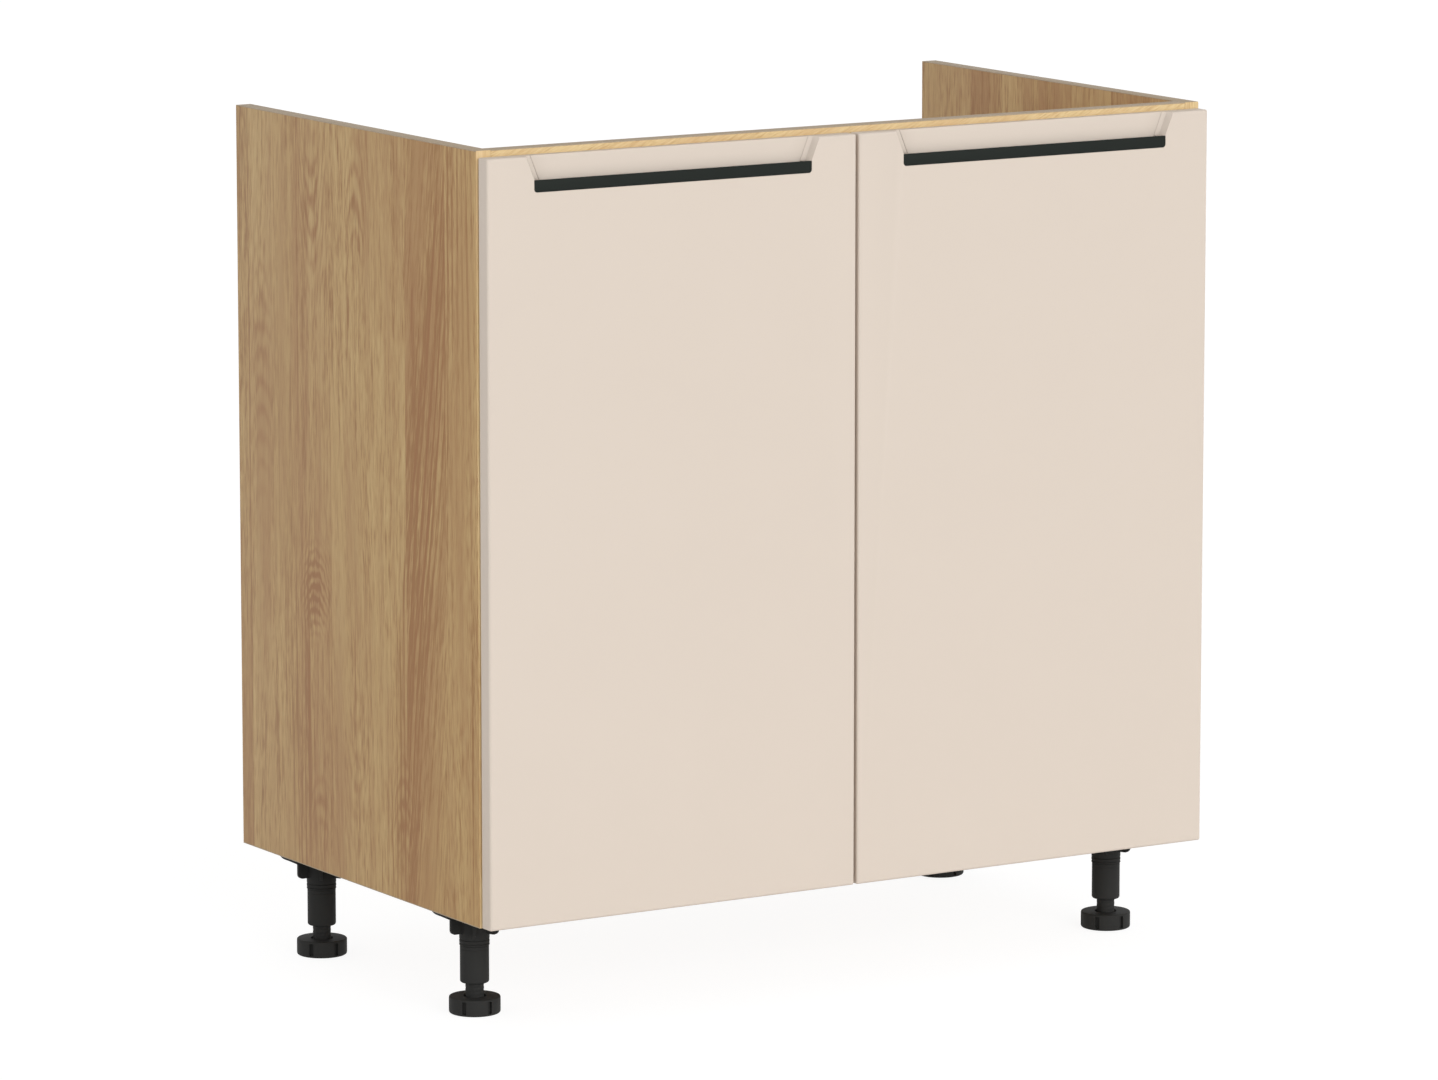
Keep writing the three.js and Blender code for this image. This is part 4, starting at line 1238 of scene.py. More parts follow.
class Finishes:
    """The finishes of the cabinet, each built once."""

    def __init__(self) -> None:
        """Builds every material."""
        x, y, z = Axis.X, Axis.Y, Axis.Z
        self.side = OakDecor(
            "oak_side", z, y, OAK, SIDE_STAVES, 3.7, SIDE_STREAKS, SIDE_ARCHES,
        ).material()
        self.far_side = OakDecor(
            "oak_far_side", z, y, OAK, BOARD_STAVES, 21.3, arches=FAR_SIDE_ARCHES,
        ).material()
        self.board_along = OakDecor("oak_board", x, y, OAK, BOARD_STAVES, 11.2).material()
        self.rail_face = OakDecor(
            "oak_rail", x, z, PALE_OAK, RAIL_STAVES, 5.9, fineness=2.2,
        ).material()
        self.band_up = OakDecor("oak_band_up", z, x, PALE_OAK, EDGE_STAVES, 8.1).material()
        self.band_along = OakDecor("oak_band_along", x, z, PALE_OAK, EDGE_STAVES, 2.4).material()
        self.back_band_up = OakDecor("oak_back_band_up", z, x, OAK, EDGE_STAVES, 14.6).material()
        self.back_band_along = OakDecor(
            "oak_back_band_along", x, z, OAK, EDGE_STAVES, 17.9,
        ).material()
        self.raw = RawBoard("raw_edge", srgb(166, 148, 126), srgb(196, 178, 153)).material()
        # The door's lacquer carries painted shade in the creases of the grip recess.
        self.lacquer = SmoothFinish(
            "door_lacquer", srgb(223, 210, 197), srgb(221, 208, 195), 0.42, specular=0.12,
            grain_mm=0.7, relief_mm=0.003, uneven=0.05, painted_crease_shade=1.3,
        ).material()
        self.strip = SmoothFinish(
            "black_anodised", srgb(40, 44, 41), srgb(36, 40, 37), 0.5, metallic=0.3, specular=0.1,
            relief_mm=0.003, uneven=0.12, brushed=x,
        ).material()
        self.plastic = SmoothFinish(
            "black_plastic", srgb(51, 51, 50), srgb(45, 45, 44), 0.62, specular=0.1,
            grain_mm=0.5, relief_mm=0.012, uneven=0.12,
        ).material()
        self.steel = SmoothFinish(
            "nickel_steel", srgb(190, 191, 190), srgb(176, 177, 177), 0.28, metallic=1.0,
            uneven=0.12,
        ).material()
        self.zinc = SmoothFinish(
            "satin_zinc", srgb(186, 184, 178), srgb(170, 168, 163), 0.44, metallic=0.9,
            grain_mm=0.4, relief_mm=0.01, uneven=0.14,
        ).material()
        self.rubber = SmoothFinish(
            "soft_bumper", srgb(216, 217, 214), srgb(205, 206, 203), 0.3, grain_mm=0.8,
            relief_mm=0.002,
        ).material()


# ------------------------------------------------------------------ the carcass


@dataclass
class Carcass:
    """The boards, their edge bands and the cams that draw them together."""

    finishes: Finishes
    band: float = 0.8
    side_band: float = 0.45
    band_inset: float = 0.35
    band_edge: float = 0.2
    board_edge: float = 0.25
    cam_radius: float = 7.5
    cam_height: float = 12.2
    cam_chamfer: float = 0.4
    cam_rim: Point2 = (1.5, 0.3)
    cam_dish: float = 0.35
    cam_end_distance: float = 34.0
    cross: Point3 = (8.4, 1.5, 2.2)
    pocket_fit: float = 0.2
    bolt_radius: float = 2.8
    bolt_collar: Point2 = (0.7, 3.0)
    bolt_shank_radius: float = 2.4
    bolt_shank_length: float = 11.0
    bolt_tip: Point2 = (1.0, 1.5)
    bolt_inset: float = 8.0

    def build(self) -> None:
        """Builds every board and fitting."""
        self.inner_x = -corners("side_panel_left")[1].x
        for hand in Hand:
            self._side_panel(hand)
        self._bottom_panel()
        self._rail("front_rail")
        self._rail("rear_rail")
        for joint in ("bottom_front", "bottom_rear", "front_rail", "rear_rail"):
            for hand in Hand:
                self._cam(joint, hand)

    def _side_panel(self, hand: Hand) -> None:
        """Makes one side: the board, its bands and its raw top and bottom edges.

        Args:
            hand: Which side.
        """
        node = f"side_panel_{hand.value}"
        low, high = corners(node)
        b, front = self.band, low.y + self.side_band
        start = (low.x, low.y + self.board_edge / 2, low.z + b)
        board = Workpiece(block(start, (high.x, high.y - b, high.z - b)))
        looks = self.finishes
        decor = looks.side if hand is Hand.LEFT else looks.far_side
        install(f"side_{hand.value}.board", board.soften(self.board_edge), decor, [node])
        strips = {
            "front_band": (low.z, low.y, high.z, front, looks.band_up),
            "rear_band": (low.z, high.y - b, high.z, high.y, looks.back_band_up),
            "top_edge": (high.z - b, front, high.z, high.y - b, looks.raw),
            "bottom_edge": (low.z, front, low.z + b, high.y - b, looks.raw),
        }
        for name, (bottom, near, top, far, finish) in strips.items():
            inset = self.band_inset if name == "front_band" else 0
            strip = Workpiece(block((low.x + inset, near, bottom), (high.x - inset, far, top)))
            install(f"side_{hand.value}.{name}", strip.soften(self.band_edge), finish, [node])

    def _pockets(self, joints: Sequence[str]) -> list[Draft]:
        """Gives the pockets for the cams of the named joints, at both ends."""
        ends = [(joint, hand) for joint in joints for hand in Hand]
        return [self._cam_cylinder(*end, self.pocket_fit) for end in ends]

    def _cam_face(self, joint: str, hand: Hand) -> tuple[Vector, Matrix]:
        """Gives the middle of a cam's face and the turn that points +Z out of it.

        Args:
            joint: The boards' joint.
            hand: Its end.

        Returns:
            The place and the turn.
        """
        low, high = corners(f"cam_fitting_{joint}_{hand.value}")
        middle = (low + high) / 2
        x = hand.sign * (self.inner_x - self.cam_end_distance)
        if joint.startswith("bottom"):
            return Vector((x, middle.y, low.z)), turn(180, Axis.X)
        if joint == "front_rail":
            return Vector((x, high.y, middle.z)), turn(-90, Axis.X)
        return Vector((x, low.y, middle.z)), turn(90, Axis.X)

    def _cam_cylinder(self, joint: str, hand: Hand, margin: float) -> Draft:
        """Gives a cam's pocket, with a margin round the cam, which breaks out of the face.

        Args:
            joint: The boards' joint.
            hand: Its end.
            margin: The pocket's clearance.

        Returns:
            The body to cut away.
        """
        centre, facing = self._cam_face(joint, hand)
        pocket = rod(self.cam_radius + margin, -(self.cam_height + margin), 1.0)
        return moved(pocket, facing, Matrix.Translation(centre))

    def _bottom_panel(self) -> None:
        """Makes the bottom: the board with its cam pockets, and its front and rear bands."""
        node = "bottom_panel"
        low, high = corners(node)
        x, b = self.inner_x, self.band
        board = Workpiece(block((-x, low.y + b, low.z), (x, high.y - b, high.z)))
        board.cut(*self._pockets(("bottom_front", "bottom_rear"))).soften(self.board_edge, 1)
        install("bottom.board", board, self.finishes.board_along, [node])
        bands = {
            "front_band": (low.y, self.finishes.band_along),
            "rear_band": (high.y - b, self.finishes.back_band_along),
        }
        for name, (near, finish) in bands.items():
            band = Workpiece(block((-x, near, low.z), (x, near + b, high.z)))
            install(f"bottom.{name}", band.soften(self.board_edge), finish, [node])

    def _rail(self, node: str) -> None:
        """Makes a rail with its cam pockets and its raw upper edge.

        Args:
            node: The rail's CAD node.
        """
        low, high = corners(node)
        x, seam = self.inner_x, high.z - self.band
        board = Workpiece(block((-x, low.y, low.z), (x, high.y, seam)))
        board.cut(*self._pockets((node,))).soften(self.board_edge, 1)
        install(f"{node}.board", board, self.finishes.rail_face, [node])
        edge = Workpiece(block((-x, low.y, seam), (x, high.y, high.z)))
        install(f"{node}.top_edge", edge.soften(self.board_edge), self.finishes.raw, [node])

    def _cam(self, joint: str, hand: Hand) -> None:
        """Makes a cam with its cross, and the bolt that it has drawn tight.

        Args:
            joint: The boards' joint.
            hand: Its end.
        """
        centre, facing = self._cam_face(joint, hand)
        r, depth, chamfer = self.cam_radius, self.cam_height, self.cam_chamfer
        (rim, lip), dish = self.cam_rim, self.cam_dish
        profile = [(0, -depth), (r - chamfer, -depth), (r, chamfer - depth), (r, -lip)]
        profile += [(r - lip, 0), (r - rim, 0), (r - rim - lip, -dish), (0, -dish)]
        cam = Workpiece(lathe(profile))
        length, width, deep = self.cross
        for a, c in ((length, width), (width, length)):
            cam.cut(block((-a / 2, -c / 2, -deep), (a / 2, c / 2, 1)))
        cam = cam.copy(facing, Matrix.Translation(centre)).join(self._bolt(joint, hand, centre))
        node = f"cam_fitting_{joint}_{hand.value}"
        install(f"cam.{joint}.{hand.value}", cam, self.finishes.zinc, [node])

    def _bolt(self, joint: str, hand: Hand, cam: Vector) -> Draft:
        """Gives the bolt that runs from the side panel to a cam.

        Args:
            joint: The boards' joint.
            hand: Its end.
            cam: The middle of the cam's face.

        Returns:
            The bolt.
        """
        reach = self.cam_end_distance - self.cam_radius + 1
        shank, r, start = self.bolt_shank_radius, self.bolt_radius, -self.bolt_shank_length
        (narrow, tip), (wider, collar) = self.bolt_tip, self.bolt_collar
        profile = [(0, start), (shank - narrow, start), (shank, start + tip), (shank, 0)]
        profile += [(r + wider, 0), (r + wider, collar), (r, collar), (r, reach), (0, reach)]
        place = Vector((hand.sign * self.inner_x, cam.y, cam.z))
        if joint.startswith("bottom"):
            place.z += self.bolt_inset
        else:
            place.y += -self.bolt_inset if joint == "front_rail" else self.bolt_inset
        bolt = lathe(profile, SMALL_ROUND)
        return moved(bolt, turn(-hand.sign * 90, Axis.Y), Matrix.Translation(place))


# ------------------------------------------------------------------ the doors


@dataclass
class Door:
    """A door leaf with its milled grip recess, the black strip and the bumpers."""

    finishes: Finishes
    hand: Hand
    edge_radius: float = 2.5
    round_steps: int = 8
    back_edge: float = 0.5
    corner_radius: float = 1.6
    least_corner: float = 0.3
    milled_edge: float = 0.45
    leaf_smooth: float = 28.0
    grip_length: float = 298.0
    grip_flare: float = 9.0
    grip_depth: float = 7.0
    grip_cheek: float = 8.4
    cheek_knee: Point2 = (6.2, 3.7)
    cheek_round: float = 0.6
    cheek_steps: int = 6
    cheek_groove: Point2 = (1.3, 0.45)
    groove_depth: float = 9.5
    groove_sink: float = 1.0
    strip_drop: float = 33.2
    strip_height: float = 11.0
    strip_wall: float = 2.0
    strip_corner: float = 3.0
    strip_tongue: float = 3.0
    strip_edge: float = 0.3
    strip_fit: float = 0.25
    cup_radius: float = 17.7
    cup_depth: float = 12.2
    cup_edge: float = 4.0
    cup_end_distance: float = 100.0
    bumper_wall: float = 0.4

    def build(self) -> None:
        """Builds the leaf, its strip and its bumpers."""
        self.low, self.high = corners("door_left")
        self.middle_x = (self.low.x + self.high.x) / 2
        self.strip_z = self.high.z - self.strip_drop
        self.floor_half = self.grip_length / 2 - self.grip_cheek
        name = self.hand.value
        leaf = self._leaf().for_hand(self.hand)
        finish, nodes = self.finishes.lacquer, [f"door_{name}"]
        install(f"leaf_{name}", leaf, finish, nodes, self.leaf_smooth)
        strip = self._strip().for_hand(self.hand)
        install(f"grip_strip_{name}", strip, self.finishes.strip, [f"handle_strip_{name}"])
        for level in Level:
            self._bumper(level)

    def _leaf(self) -> Workpiece:
        """Makes the leaf: rounded at the front, nearly square at the back, then milled.

        Returns:
            The leaf, of the left door.
        """
        thickness, back = self.high.y - self.low.y, self.back_edge
        levels = [*self._front_round(), (0.0, thickness - back), (back, thickness)]
        leaf = Workpiece(loft([self._outline(inset, self.low.y + y) for inset, y in levels]))
        leaf.cut(self._recess(), self._groove(), *self._strip_seat())
        leaf.cut(*(self._cheek_groove(sign) for sign in (-1, 1)))
        x = self.low.x + self.cup_edge + self.cup_radius - self.strip_fit
        for z in (self.low.z + self.cup_end_distance, self.high.z - self.cup_end_distance):
            bore = rod(self.cup_radius, 0, self.cup_depth + 1, ROUND)
            leaf.cut(moved(bore, turn(-90, Axis.X), shift(x, self.high.y - self.cup_depth, z)))
        return leaf.soften(self.milled_edge)

    def _front_round(self) -> list[Point2]:
        """Gives inset and depth of the rings round the front edge.

        Returns:
            A pair for each ring, from the front inwards.
        """
        r, steps = self.edge_radius, self.round_steps
        angles = [math.radians(90 * i / steps) for i in range(steps + 1)]
        return [(r * (1 - math.sin(a)), r * (1 - math.cos(a))) for a in angles]

    def _outline(self, inset: float, y: float) -> list[Point3]:
        """Gives the door's outline, drawn in by an inset, at a depth.

        Args:
            inset: How far it is drawn in.
            y: The depth.

        Returns:
            The ring of points.
        """
        width = self.high.x - self.low.x - 2 * inset
        height = self.high.z - self.low.z - 2 * inset
        middle_z = (self.high.z + self.low.z) / 2
        radius = max(self.corner_radius - inset * 0.5, self.least_corner)
        outline = rounded_rectangle(width, height, radius, 4)
        return [(self.middle_x + px, y, middle_z + pz) for px, pz in outline]

    def _recess(self) -> Draft:
        """Gives the recess: its ends run down steeply, then turn and run out on its floor.

        Returns:
            The body to cut away.
        """
        knee, end = Vector(self.cheek_knee), Vector((self.grip_depth, self.grip_cheek))
        near = knee - knee.normalized() * self.cheek_round
        far = knee + (end - knee).normalized() * self.cheek_round
        levels = [-knee / knee.x]
        for step in range(self.cheek_steps + 1):
            share = step / self.cheek_steps
            levels.append(near.lerp(knee, share).lerp(knee.lerp(far, share), share))
        levels.append(end)
        points = []
        for sunk, inset in levels:
            for sign in (-1, 1):
                for z, run_out in self._cheek_ends():
                    x = self.middle_x + sign * (self.grip_length / 2 - inset + run_out)
                    points.append((x, self.low.y + sunk, z))
        return hull(points)

    def _cheek_ends(self) -> tuple[Point2, Point2]:
        """Gives height and run-out of a cheek's lower end and of its end above the door.

        Returns:
            A pair for each end.
        """
        bottom, top = self.strip_z + self.strip_height, self.high.z + 1
        flare = self.grip_flare * (top - bottom) / (self.high.z - bottom)
        return (bottom, 0.0), (top, flare)

    def _cheek_groove(self, sign: int) -> Draft:
        """Gives the fine groove where a cheek meets the recess's floor.

        Args:
            sign: The cheek: -1 for the left one, 1 for the right one.

        Returns:
            The body to cut away.
        """
        half, depth = self.cheek_groove
        floor = self.low.y + self.grip_depth
        points = []
        for z, run_out in self._cheek_ends():
            x = self.middle_x + sign * (self.floor_half + run_out)
            points += [(x - half, floor - depth, z), (x + half, floor - depth, z)]
            points.append((x, floor + depth, z))
        return hull(points)

    def _along_grip(self, section: Sequence[Point2], half: float) -> Draft:
        """Draws a section in depth and height out along the recess.

        Args:
            section: Points in depth and height.
            half: Half the length.

        Returns:
            The bar.
        """
        bar = prism(section, -half, half)
        to_grip = Matrix(((0, 0, 1, 0), (1, 0, 0, 0), (0, 1, 0, 0), (0, 0, 0, 1)))
        return moved(bar, to_grip, shift(self.middle_x, self.low.y, self.strip_z))

    def _groove(self) -> Draft:
        """Gives the finger groove behind the strip, which runs out into the recess's floor.

        Returns:
            The body to cut away.
        """
        wall, deep, floor = self.strip_wall, self.groove_depth, self.grip_depth
        top = self.strip_height - self.groove_sink
        above = self.strip_height + 1
        section = [(wall / 2, wall), (deep, wall), (deep, top - (deep - floor))]
        section += [(floor, top), (floor, above), (wall / 2, above)]
        return self._along_grip(section, self.floor_half)

    def _strip_outline(self, grow: float) -> list[Point2]:
        """Gives the strip's front outline: square above, with round corners below.

        Args:
            grow: How far it is drawn out, for the seat.

        Returns:
            The corners, in order.
        """
        half = self.grip_length / 2 + grow
        r = self.strip_corner + grow
        outline = [(-half, self.strip_height)]
        outline += arc((-half + r, r - grow), r, 180, 270, 10)
        outline += arc((half - r, r - grow), r, 270, 360, 10)
        return outline + [(half, self.strip_height)]

    def _strip_plate(self, grow: float, front: float, back: float) -> Draft:
        """Gives the strip's front plate between two depths."""
        plate = prism(self._strip_outline(grow), -back, -front)
        return moved(plate, turn(90, Axis.X), shift(self.middle_x, self.low.y, self.strip_z))

    def _strip_seat(self) -> list[Draft]:
        """Gives the seat of the strip and the kerf for its web.

        Returns:
            The bodies to cut away.
        """
        fit, wall = self.strip_fit, self.strip_wall
        end = self.groove_depth + self.strip_tongue + fit
        kerf = [(0, -fit), (end, -fit), (end, wall + fit), (0, wall + fit)]
        return [self._strip_plate(fit, -1, wall + fit), self._along_grip(kerf, self.floor_half)]

    def _strip(self) -> Workpiece:
        """Makes the strip: a front plate with a web that runs back into the kerf.

        Returns:
            The strip, of the left door.
        """
        wall = self.strip_wall
        end = self.groove_depth + self.strip_tongue
        web = [(wall / 2, 0), (end, 0), (end, wall), (wall / 2, wall)]
        strip = Workpiece(self._strip_plate(0, 0, wall))
        strip.join(self._along_grip(web, self.floor_half - self.strip_fit))
        return strip.soften(self.strip_edge, 3)

    def _bumper(self, level: Level) -> None:
        """Makes a clear bumper on the back of the door.

        Args:
            level: Which of the door's two.
        """
        node = f"door_bumper_{self.hand.value}_{level.value}"
        low, high = corners(node)
        radius, height, wall = (high.x - low.x) / 2, high.y - low.y, self.bumper_wall
        angles = [math.radians(a) for a in range(0, 90, 10)]
        rises = [height * (wall + (1 - wall) * math.sin(a)) for a in angles]
        dome = [(radius * math.cos(a), rise) for a, rise in zip(angles, rises)]
        bumper = lathe([(0, 0), (radius, 0), *dome, (0, height)], SMALL_ROUND)
        centre = (low + high) / 2
        bumper = moved(bumper, turn(-90, Axis.X), shift(centre.x, low.y, centre.z))
        name = f"bumper.{self.hand.value}.{level.value}"
        install(name, Workpiece(bumper), self.finishes.rubber, [node])


# ------------------------------------------------------------------ the hinges


@dataclass
class ConcealedHinge:
    """A cup hinge.

    Its plan has u inwards from the side panel and v rearwards from the panel's front edge.
    """

    finishes: Finishes
    standoff: float = 2.0
    cup_radius: float = 17.5
    cup_u: float = 7.0
    cup_depth: float = 12.0
    cup_wall: float = 1.2
    cup_floor: float = 1.0
    cup_heel: Point2 = (1.5, 0.4)
    cup_brim: Point2 = (1.2, 0.3)
    hollow_heel: Point2 = (1.2, 0.35)
    hollow_lip: float = 0.4
    flange_seat: float = 0.1
    flange_thickness: float = 0.9
    flange_size: Point2 = (17.0, 62.0)
    flange_corner: float = 6.0
    flange_screw_u: float = 13.0
    flange_screw_spacing: float = 48.0
    rear_pivot: Point2 = (9.8, 10.9)
    nose_pivot: Point2 = (16.69, -7.81)
    edge_pivot: Point2 = (-6.5, -5.02)
    inner_pivot: Point2 = (-2.0, -9.42)
    outer_knee: Point2 = (1.59, -7.94)
    inner_knee: Point2 = (7.5, -10.4)
    pin_radius: float = 1.2
    pin_chamfer: float = 0.25
    pin_clearance: float = 0.25
    pin_sink: float = 0.3
    eye_wall: float = 0.65
    eye_facets: int = 24
    link_thickness: float = 1.8
    outer_width: float = 6.4
    side_clearance: float = 0.5
    pressed_edge: float = 0.2
    arm_wall: float = 1.4
    arm_inner_width: float = 14.0
    arm_height: float = 17.0
    arm_length: float = 62.0
    arm_web_start: float = 10.0
    arm_bend: float = 2.5
    arm_edge: float = 0.5
    arm_slot: Point3 = (4.4, 10.0, 2.19)
    arm_slot_place: float = 9.0
    arm_screw_v: float = 47.0
    arm_screws: tuple[Point3, ...] = ((47.0, 4.5, 1.8), (30.0, 3.2, 1.0))
    shank_radius: float = 2.1
    thread_radius: float = 2.3
    thread_length: float = 8.0
    thread_place: float = 5.2
    nose_radius: float = 2.7
    plate_line: float = 37.0
    plate_thickness: float = 2.5
    plate_wing: Point2 = (16.0, 48.0)
    plate_corner: float = 5.0
    plate_edge: float = 0.6
    plate_screw_spacing: float = 32.0
    plate_block: Point2 = (38.0, 9.0)
    plate_play: float = 0.3
    screw_head_radius: float = 3.4
    screw_rise: float = 0.8
    screw_rim: Point2 = (-0.4, 0.15)
    screw_dome: Point2 = (0.86, 0.75)
    cross_reach: float = 0.55
    cross_width: float = 0.45
    cross_depth: float = 1.1

    def build(self) -> None:
        """Builds the four hinges from one set of pieces."""
        panel_low, panel_high = corners("side_panel_left")
        work = {
            "cup": (self._cup(), self.finishes.steel),
            "arm": (self._arm(), self.finishes.steel),
            "outer_link": (self._outer_link(), self.finishes.steel),
            "inner_link": (self._inner_link(), self.finishes.steel),
            "plate": (self._plate(), self.finishes.zinc),
        }
        for hand in Hand:
            for level in Level:
                low, high = corners(f"hinge_cup_{hand.value}_{level.value}")
                home = shift(panel_high.x, panel_low.y, (low.z + high.z) / 2)
                for part, (piece, finish) in work.items():
                    node = f"hinge_{part}_{hand.value}_{level.value}"
                    name = f"hinge.{part}.{hand.value}.{level.value}"
                    install(name, piece.copy(home).for_hand(hand), finish, [node])

    def _pin(self, place: Point2, half: float) -> Draft:
        """Gives a pin along the hinge's axis, with broken ends.

        Args:
            place: Its axis in the plan.
            half: Half its length.

        Returns:
            The pin.
        """
        r, c = self.pin_radius, self.pin_chamfer
        side = [(r - c, -half), (r, c - half), (r, half - c), (r - c, half)]
        return moved(lathe([(0, -half), *side, (0, half)], SMALL_ROUND), shift(*place))

    def _bored(self, place: Point2, half: float) -> Draft:
        """Gives the bore that a pin turns in."""
        return moved(rod(self.pin_radius + self.pin_clearance, -half, half), shift(*place))

    def _screw_head(self) -> Draft:
        """Gives a raised screw head on +Z, its underside just below the origin.

        Returns:
            The head.
        """
        r, rise = self.screw_head_radius, self.screw_rise
        (under, rim), (wide, high) = self.screw_rim, self.screw_dome
        dome = [(r, rim), (r * wide, rise * high), (r * 0.5, rise)]
        return lathe([(0, under), (r, under), *dome, (0, rise)], SMALL_ROUND)

    def _cross(self, radius: float, top: float, *places: Matrix) -> list[Draft]:
        """Gives the cross that a screwdriver fits, cut down from a height.

        Args:
            radius: The screw head's radius.
            top: Height of the head.
            *places: The moves and turns to the head.

        Returns:
            The bodies to cut away.
        """
        half, wide = radius * self.cross_reach, self.cross_width
        low, high = top - self.cross_depth, top + 1
        sizes = ((half, wide), (wide, half))
        return [moved(block((-a, -b, low), (a, b, high)), *places) for a, b in sizes]

    def _cup(self) -> Workpiece:
        """Makes the cup with its flange, screws and the pin by the door's edge.

        Returns:
            The cup.
        """
        back = -self.standoff
        seat = back + self.flange_seat
        r, t, rim = self.cup_radius, self.flange_thickness, self.cup_depth + self.flange_seat
        top, brim, bevel = rim + t, r + self.cup_brim[0], self.cup_brim[1]
        heel, sag = self.cup_heel
        to_plan, home = turn(-90, Axis.X), shift(self.cup_u, back - self.cup_depth, 0)
        bowl = [(0, 0), (r - heel, 0), (r - sag, sag), (r, heel), (r, rim), (brim, rim)]
        bowl += [(brim, top - bevel), (brim - bevel, top), (0, top)]
        cup = Workpiece(moved(lathe(bowl), to_plan, home))
        wing = prism(rounded_rectangle(*self.flange_size, self.flange_corner), 0, t)
        cup.join(moved(wing, to_plan, shift(self.flange_screw_u - 1, seat, 0)))
        inner, floor, lip = r - self.cup_wall, self.cup_floor, self.hollow_lip
        heel, sag = self.hollow_heel
        hollow = [(0, floor), (inner - heel, floor), (inner - sag, floor + sag)]
        hollow += [(inner, floor + heel), (inner, top - lip), (inner + lip, top)]
        hollow += [(inner + lip, top + 1), (0, top + 1)]
        cup.cut(moved(lathe(hollow), to_plan, home)).soften(self.pressed_edge)
        for sign in (-1, 1):
            place = shift(self.flange_screw_u, seat + t, sign * self.flange_screw_spacing / 2)
            cup.join(moved(self._screw_head(), to_plan, place))
            cup.cut(*self._cross(self.screw_head_radius, self.screw_rise, to_plan, place))
        far = self.cup_u - self.edge_pivot[0] + self.pin_radius
        reach = math.sqrt((r - self.pin_sink) ** 2 - far ** 2)
        return cup.join(self._pin(self.edge_pivot, reach))

    def _band(self, points: Sequence[Point2], low: float, high: float) -> Workpiece:
        """Makes a pressed link along three points, with an eye at each end.

        Args:
            points: The first eye, the knee and the second eye, in the plan.
            low: Height of the underside.
            high: Height of the top.

        Returns:
            The link, its eyes not yet bored.
        """
        first, knee, last = (Vector(point) for point in points)
        eye = self.pin_radius + self.pin_clearance + self.eye_wall
        half = self.link_thickness / 2
        across = []
        for start, end in ((first, knee), (knee, last)):
            along = (end - start).normalized()
            across.append(Vector((-along.y, along.x)))
        mitre = (across[0] + across[1]) / (1 + across[0].dot(across[1]))
        ways = ((first, across[0]), (knee, mitre), (last, across[1]))
        lower, upper = ([place + way * side for place, way in ways] for side in (-half, half))
        link = Workpiece(prism([tuple(place) for place in lower + upper[::-1]], low, high))
        facets = self.eye_facets
        disc = arc((0, 0), eye, 0, 360 - 360 / facets, facets - 1)
        for centre in (first, last):
            link.join(moved(prism(disc, low, high), shift(*centre)))
        return link

    def _outer_link(self) -> Workpiece:
        """Makes the outer link, which carries the door's edge.

        Returns:
            The link.
        """
        half = self.outer_width / 2
        link = self._band((self.edge_pivot, self.outer_knee, self.rear_pivot), -half, half)
        link.cut(*(self._bored(pivot, half + 1) for pivot in (self.edge_pivot, self.rear_pivot)))
        return link.soften(self.pressed_edge)

    def _inner_link(self) -> Workpiece:
        """Makes the inner link: two cheeks with the pin that lies in the cup.

        Returns:
            The link.
        """
        near = self.outer_width / 2 + self.side_clearance
        far = near + self.link_thickness
        upper = self._band((self.inner_pivot, self.inner_knee, self.nose_pivot), near, far)
        upper.cut(self._bored(self.nose_pivot, far + 1)).soften(self.pressed_edge)
        lower = upper.copy(Matrix.Scale(-1, 4, (0, 0, 1)))
        draft = bmesh.new()
        draft.from_mesh(lower.mesh)
        return upper.join(draft, self._pin(self.inner_pivot, far))

    def _arm(self) -> Workpiece:
        """Makes the arm: a channel with two cheeks that run on as the nose.

        Returns:
            The arm.
        """
        inner = self.arm_inner_width / 2
        outer = inner + self.arm_wall
        u, v = self.nose_pivot
        n, top, end = self.nose_radius, self.arm_height, self.arm_length
        foot = self.plate_thickness + 1
        bend = self.arm_bend
        cheek = arc((u, v), n, 180, 360, 16) + [(top, self.arm_web_start)]
        cheek += arc((top - bend, end - bend), bend, 0, 90, 6)
        cheek += [(foot, end), (foot, self.plate_line - self.plate_block[0] / 2)]
        cheek += [(self.rear_pivot[0] - n - 2, self.rear_pivot[1]), (u - n, 1)]
        arm = Workpiece(prism(cheek, -outer, -inner)).join(prism(cheek, inner, outer))
        arm.join(block((top - self.arm_wall, self.arm_web_start, -outer), (top, end, outer)))
        slot = moved(
            prism(rounded_rectangle(*self.arm_slot), -3, 3), turn(90, Axis.X), turn(90, Axis.Z),
            shift(top, self.arm_web_start + self.arm_slot_place, 0),
        )
        arm.cut(slot).soften(self.arm_edge, 3)
        to_panel = turn(90, Axis.Y)
        for at, radius, rise in self.arm_screws:
            rim = [(radius, -1), (radius, rise - 0.5), (radius - 0.5, rise)]
            head = lathe([(0, -1), *rim, (0, rise)], SMALL_ROUND)
            arm.join(moved(head, to_panel, shift(top, at, 0)))
            arm.cut(*self._cross(radius, rise, to_panel, shift(top, at, 0)))
        shank = rod(self.shank_radius, 0, top - 4)
        arm.join(moved(shank, to_panel, shift(4, self.arm_screw_v, 0)))
        half = inner + self.pin_clearance
        return arm.join(*(self._pin(pivot, half) for pivot in (self.nose_pivot, self.rear_pivot)))

